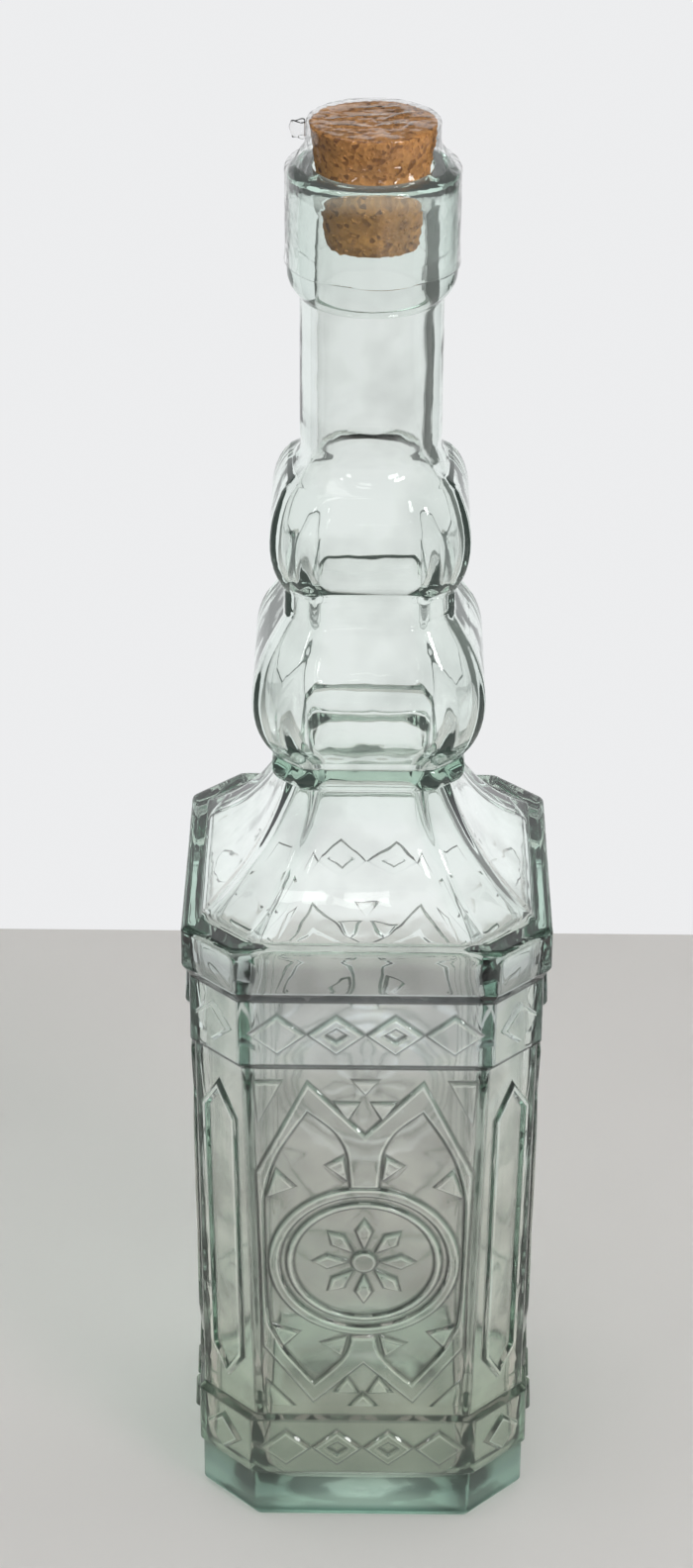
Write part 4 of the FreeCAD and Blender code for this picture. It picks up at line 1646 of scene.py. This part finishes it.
@dataclass
class Studio:
    """Pale paper under and behind the bottle, soft light from the right, and the camera."""

    paper: Colour = (0.675, 0.656, 0.628)
    paper_change: float = 0.04
    paper_scale: float = 9.0
    paper_roughness: float = 0.9
    paper_gloss: float = 0.1
    # Painted shade and light of the table that only reflections and the glass see: darker on the left, lighter to the
    # right
    table: Colour = (0.32, 0.32, 0.31)
    table_lit: Colour = (0.62, 0.62, 0.61)
    wall: Colour = (0.13, 0.135, 0.13)
    even: Colour = (0.55, 0.555, 0.57)
    # Painted glow on the paper under the bottle, seen only through the glass
    under: Colour = (0.86, 1.0, 0.94)
    under_glow: float = 0.12
    backdrop: Colour = (0.845, 0.85, 0.86)
    backdrop_y: float = 215.0
    backdrop_half: float = 1500.0
    backdrop_height: float = 1200.0
    bright_half: float = 330.0
    bright_middle: float = -160.0
    bright_height: float = 393.0
    bright_edge: float = 10.0
    floor_z: float = -0.15
    floor_reach: float = 6000.0
    aim_z: float = 150.0
    camera_place: Place = (0.0, -698.2, 553.2)
    camera_pitch: float = 29.0
    camera_roll: float = 0.30
    camera_pan: float = -0.37
    lens: float = 87.75
    film_width: float = 36.0
    camera_sees: Point = (0.01, 50.0)

    # Tones of the room from left to right, as clear pieces see them
    WALLS = ((0.13, (0.23, 0.245, 0.235)), (0.33, (0.44, 0.44, 0.44)), (0.67, (0.44, 0.44, 0.44)),
             (0.88, (0.36, 0.37, 0.36)))
    # Name, middle, size and power of each soft light
    WINDOWS = (("window_right", (650.0, -720.0, 1000.0), (360.0, 280.0), 5.4),
               ("window_front", (-110.0, -760.0, 1180.0), (230.0, 110.0), 0.24),
               ("window_left", (-560.0, -640.0, 900.0), (120.0, 170.0), 0.5),
               ("ceiling", (-300.0, 100.0, 1500.0), (900.0, 900.0), 2.6))
    # In metres: where the paper turns into the painted table, how the table's painted light brightens to the right,
    # and the bottle's footprint under the painted glow
    TABLE_FROM = (0.2, 0.45)
    TABLE_LIT = (0.0, 0.25)
    FOOTPRINT = (0.046, 0.038)

    def paper_material(self) -> Material:
        """Builds the paper that the bottle stands on.

        Returns:
            The material.
        """
        mat, tree, shader, _ = new_material("pale_paper")
        place = add_node(tree, "ShaderNodeTexCoord").outputs["Object"]
        across = add_node(tree, "ShaderNodeSeparateXYZ", {0: place}).outputs["X"]
        far = add_node(tree, "ShaderNodeVectorMath", {0: place}, operation="LENGTH").outputs["Value"]
        path = add_node(tree, "ShaderNodeLightPath").outputs
        stops = [(stop, tuple(min(1.0, c * (1 + change)) for c in self.paper))
                 for stop, change in ((0.0, -self.paper_change), (1.0, self.paper_change))]
        paper = colour_ramp(tree, clouds(tree, place, self.paper_scale, 3.0), stops)
        # Reflections and the glass see the painted table beyond the paper, lit more to the right
        table = blend(tree, map_range(tree, across, self.TABLE_LIT), opaque(self.table), opaque(self.table_lit))
        through = maths(tree, "MAXIMUM", path["Is Glossy Ray"], path["Is Transmission Ray"])
        share = maths(tree, "MULTIPLY", through, map_range(tree, far, self.TABLE_FROM))
        # Painted glow under the bottle's footprint, for rays through the glass
        glow = map_range(tree, far, self.FOOTPRINT, (0.0, self.under_glow))
        feed(tree, shader, {
            "Base Color": blend(tree, share, paper, table),
            "Emission Color": opaque(self.under),
            "Emission Strength": maths(tree, "MULTIPLY", glow, path["Is Transmission Ray"]),
            "Roughness": self.paper_roughness,
            "Specular IOR Level": self.paper_gloss,
        })
        return mat

    def backdrop_material(self) -> Material:
        """Builds the white sheet, which shows only from the bottle's side.

        Returns:
            The material.
        """
        mat, tree, shader, out = new_material("white_sheet")
        feed(tree, shader, {"Base Color": opaque(self.backdrop), "Roughness": self.paper_roughness})
        path = add_node(tree, "ShaderNodeLightPath").outputs
        place = add_node(tree, "ShaderNodeTexCoord").outputs["Object"]
        split = add_node(tree, "ShaderNodeSeparateXYZ", {0: place}).outputs
        aside = maths(tree, "ABSOLUTE", maths(tree, "SUBTRACT", split["X"], self.bright_middle * MM))
        beyond = [map_range(tree, reach, ((limit - self.bright_edge) * MM, (limit + self.bright_edge) * MM))
                  for reach, limit in ((aside, self.bright_half), (split["Z"], self.bright_height))]
        dim = add_node(tree, "ShaderNodeMath", {0: maths(tree, "MAXIMUM", *beyond), 1: path["Is Camera Ray"]},
                       operation="SUBTRACT", use_clamp=True).outputs[0]
        tone = blend(tree, dim, opaque(self.backdrop), opaque(self.wall))
        glow = add_node(tree, "ShaderNodeEmission", {"Color": tone}).outputs["Emission"]
        direct = maths(tree, "MAXIMUM", path["Is Camera Ray"], path["Is Glossy Ray"])
        seen = maths(tree, "MAXIMUM", direct, path["Is Transmission Ray"])
        front = mix_shaders(tree, seen, shader.outputs["BSDF"], glow)
        behind = add_node(tree, "ShaderNodeNewGeometry").outputs["Backfacing"]
        clear = add_node(tree, "ShaderNodeBsdfTransparent").outputs["BSDF"]
        feed(tree, out, {"Surface": mix_shaders(tree, behind, front, clear)})
        return mat

    def build_stage(self) -> None:
        """Lays the paper and stands the sheet behind it."""
        r, z = self.floor_reach, self.floor_z
        corners = [(-r, -r, z), (r, -r, z), (r, r, z), (-r, r, z)]
        floor = make_object("paper_floor", mesh_from("paper_floor", np.array(corners), [(0, 1, 2, 3)]))
        floor.data.materials.append(self.paper_material())
        y, w, h = self.backdrop_y, self.backdrop_half, self.backdrop_height
        corners = [(-w, y, z), (w, y, z), (w, y, h), (-w, y, h)]
        sheet = make_object("white_sheet", mesh_from("white_sheet", np.array(corners), [(0, 1, 2, 3)]))
        sheet.data.materials.append(self.backdrop_material())

    def build_world(self) -> None:
        """Lights the room: white to the camera, even on surfaces, and dimmer for clear pieces."""
        world = bpy.data.worlds.new("room")
        bpy.context.scene.world = world
        world.use_nodes = True
        tree = world.node_tree
        tree.nodes.clear()
        place = add_node(tree, "ShaderNodeTexCoord").outputs["Generated"]
        across = add_node(tree, "ShaderNodeSeparateXYZ", {0: place}).outputs["X"]
        walls = colour_ramp(tree, map_range(tree, across, (-1.0, 1.0)), self.WALLS)
        white = opaque((1.0, 1.0, 1.0))
        room, even, white = (add_node(tree, "ShaderNodeBackground", {"Color": tone}).outputs[0]
                             for tone in (walls, opaque(self.even), white))
        path = add_node(tree, "ShaderNodeLightPath").outputs
        through = maths(tree, "MAXIMUM", path["Is Glossy Ray"], path["Is Transmission Ray"])
        unseen = mix_shaders(tree, through, even, room)
        add_node(tree, "ShaderNodeOutputWorld", {"Surface": mix_shaders(tree, path["Is Camera Ray"], unseen, white)})

    def add_window(self, name: str, place: Place, size: Point, power: float) -> None:
        """Adds a soft rectangular light that faces the bottle.

        Args:
            name: Name of the light.
            place: Its middle, in millimetres.
            size: Its width and height, in millimetres.
            power: Its power in watts.
        """
        data = bpy.data.lights.new(name, "AREA")
        data.shape = "RECTANGLE"
        data.size, data.size_y = size[0] * MM, size[1] * MM
        data.energy = power
        obj = bpy.data.objects.new(name, data)
        obj.location = Vector(place) * MM
        aim = Vector((0.0, 0.0, self.aim_z)) * MM - obj.location
        obj.rotation_euler = aim.to_track_quat("-Z", "Y").to_euler()
        bpy.context.scene.collection.objects.link(obj)

    def build_camera(self) -> None:
        """Stands the camera where the photograph was taken from."""
        pitch, roll, pan = (math.radians(a) for a in (self.camera_pitch, self.camera_roll, self.camera_pan))
        ahead = Vector((math.sin(pan) * math.cos(pitch), math.cos(pan) * math.cos(pitch), -math.sin(pitch)))
        right = Vector((math.cos(pan), -math.sin(pan), 0.0))
        up = right.cross(ahead)
        level_right = right * math.cos(roll) + up * math.sin(roll)
        level_up = up * math.cos(roll) - right * math.sin(roll)
        data = bpy.data.cameras.new("camera")
        data.lens = self.lens
        data.sensor_width = self.film_width
        data.clip_start, data.clip_end = self.camera_sees
        camera = bpy.data.objects.new("camera", data)
        camera.matrix_world = Matrix.Translation(Vector(self.camera_place) * MM) @ Matrix(
            (level_right, level_up, -ahead)).transposed().to_4x4()
        bpy.context.scene.collection.objects.link(camera)
        bpy.context.scene.camera = camera

    def build(self) -> None:
        """Sets up the whole stage."""
        bpy.context.scene.view_settings.view_transform = "Standard"
        self.build_stage()
        self.build_world()
        for window in self.WINDOWS:
            self.add_window(*window)
        self.build_camera()


def main() -> None:
    """Builds the stage and the three pieces."""
    logging.basicConfig(level=logging.INFO, format="%(name)s: %(message)s")
    Studio().build()
    pieces = [
        GlassBottle(PanelOrnament()).build(GlassFinish()),
        CorkStopper().build(CorkFinish()),
        ShrinkFilm().build(FilmFinish()),
    ]
    for piece in pieces:
        triangles = sum(len(p.vertices) - 2 for p in piece.data.polygons)
        LOG.info("%s: %d triangles", piece.name, triangles)


if __name__ == "__main__":
    main()
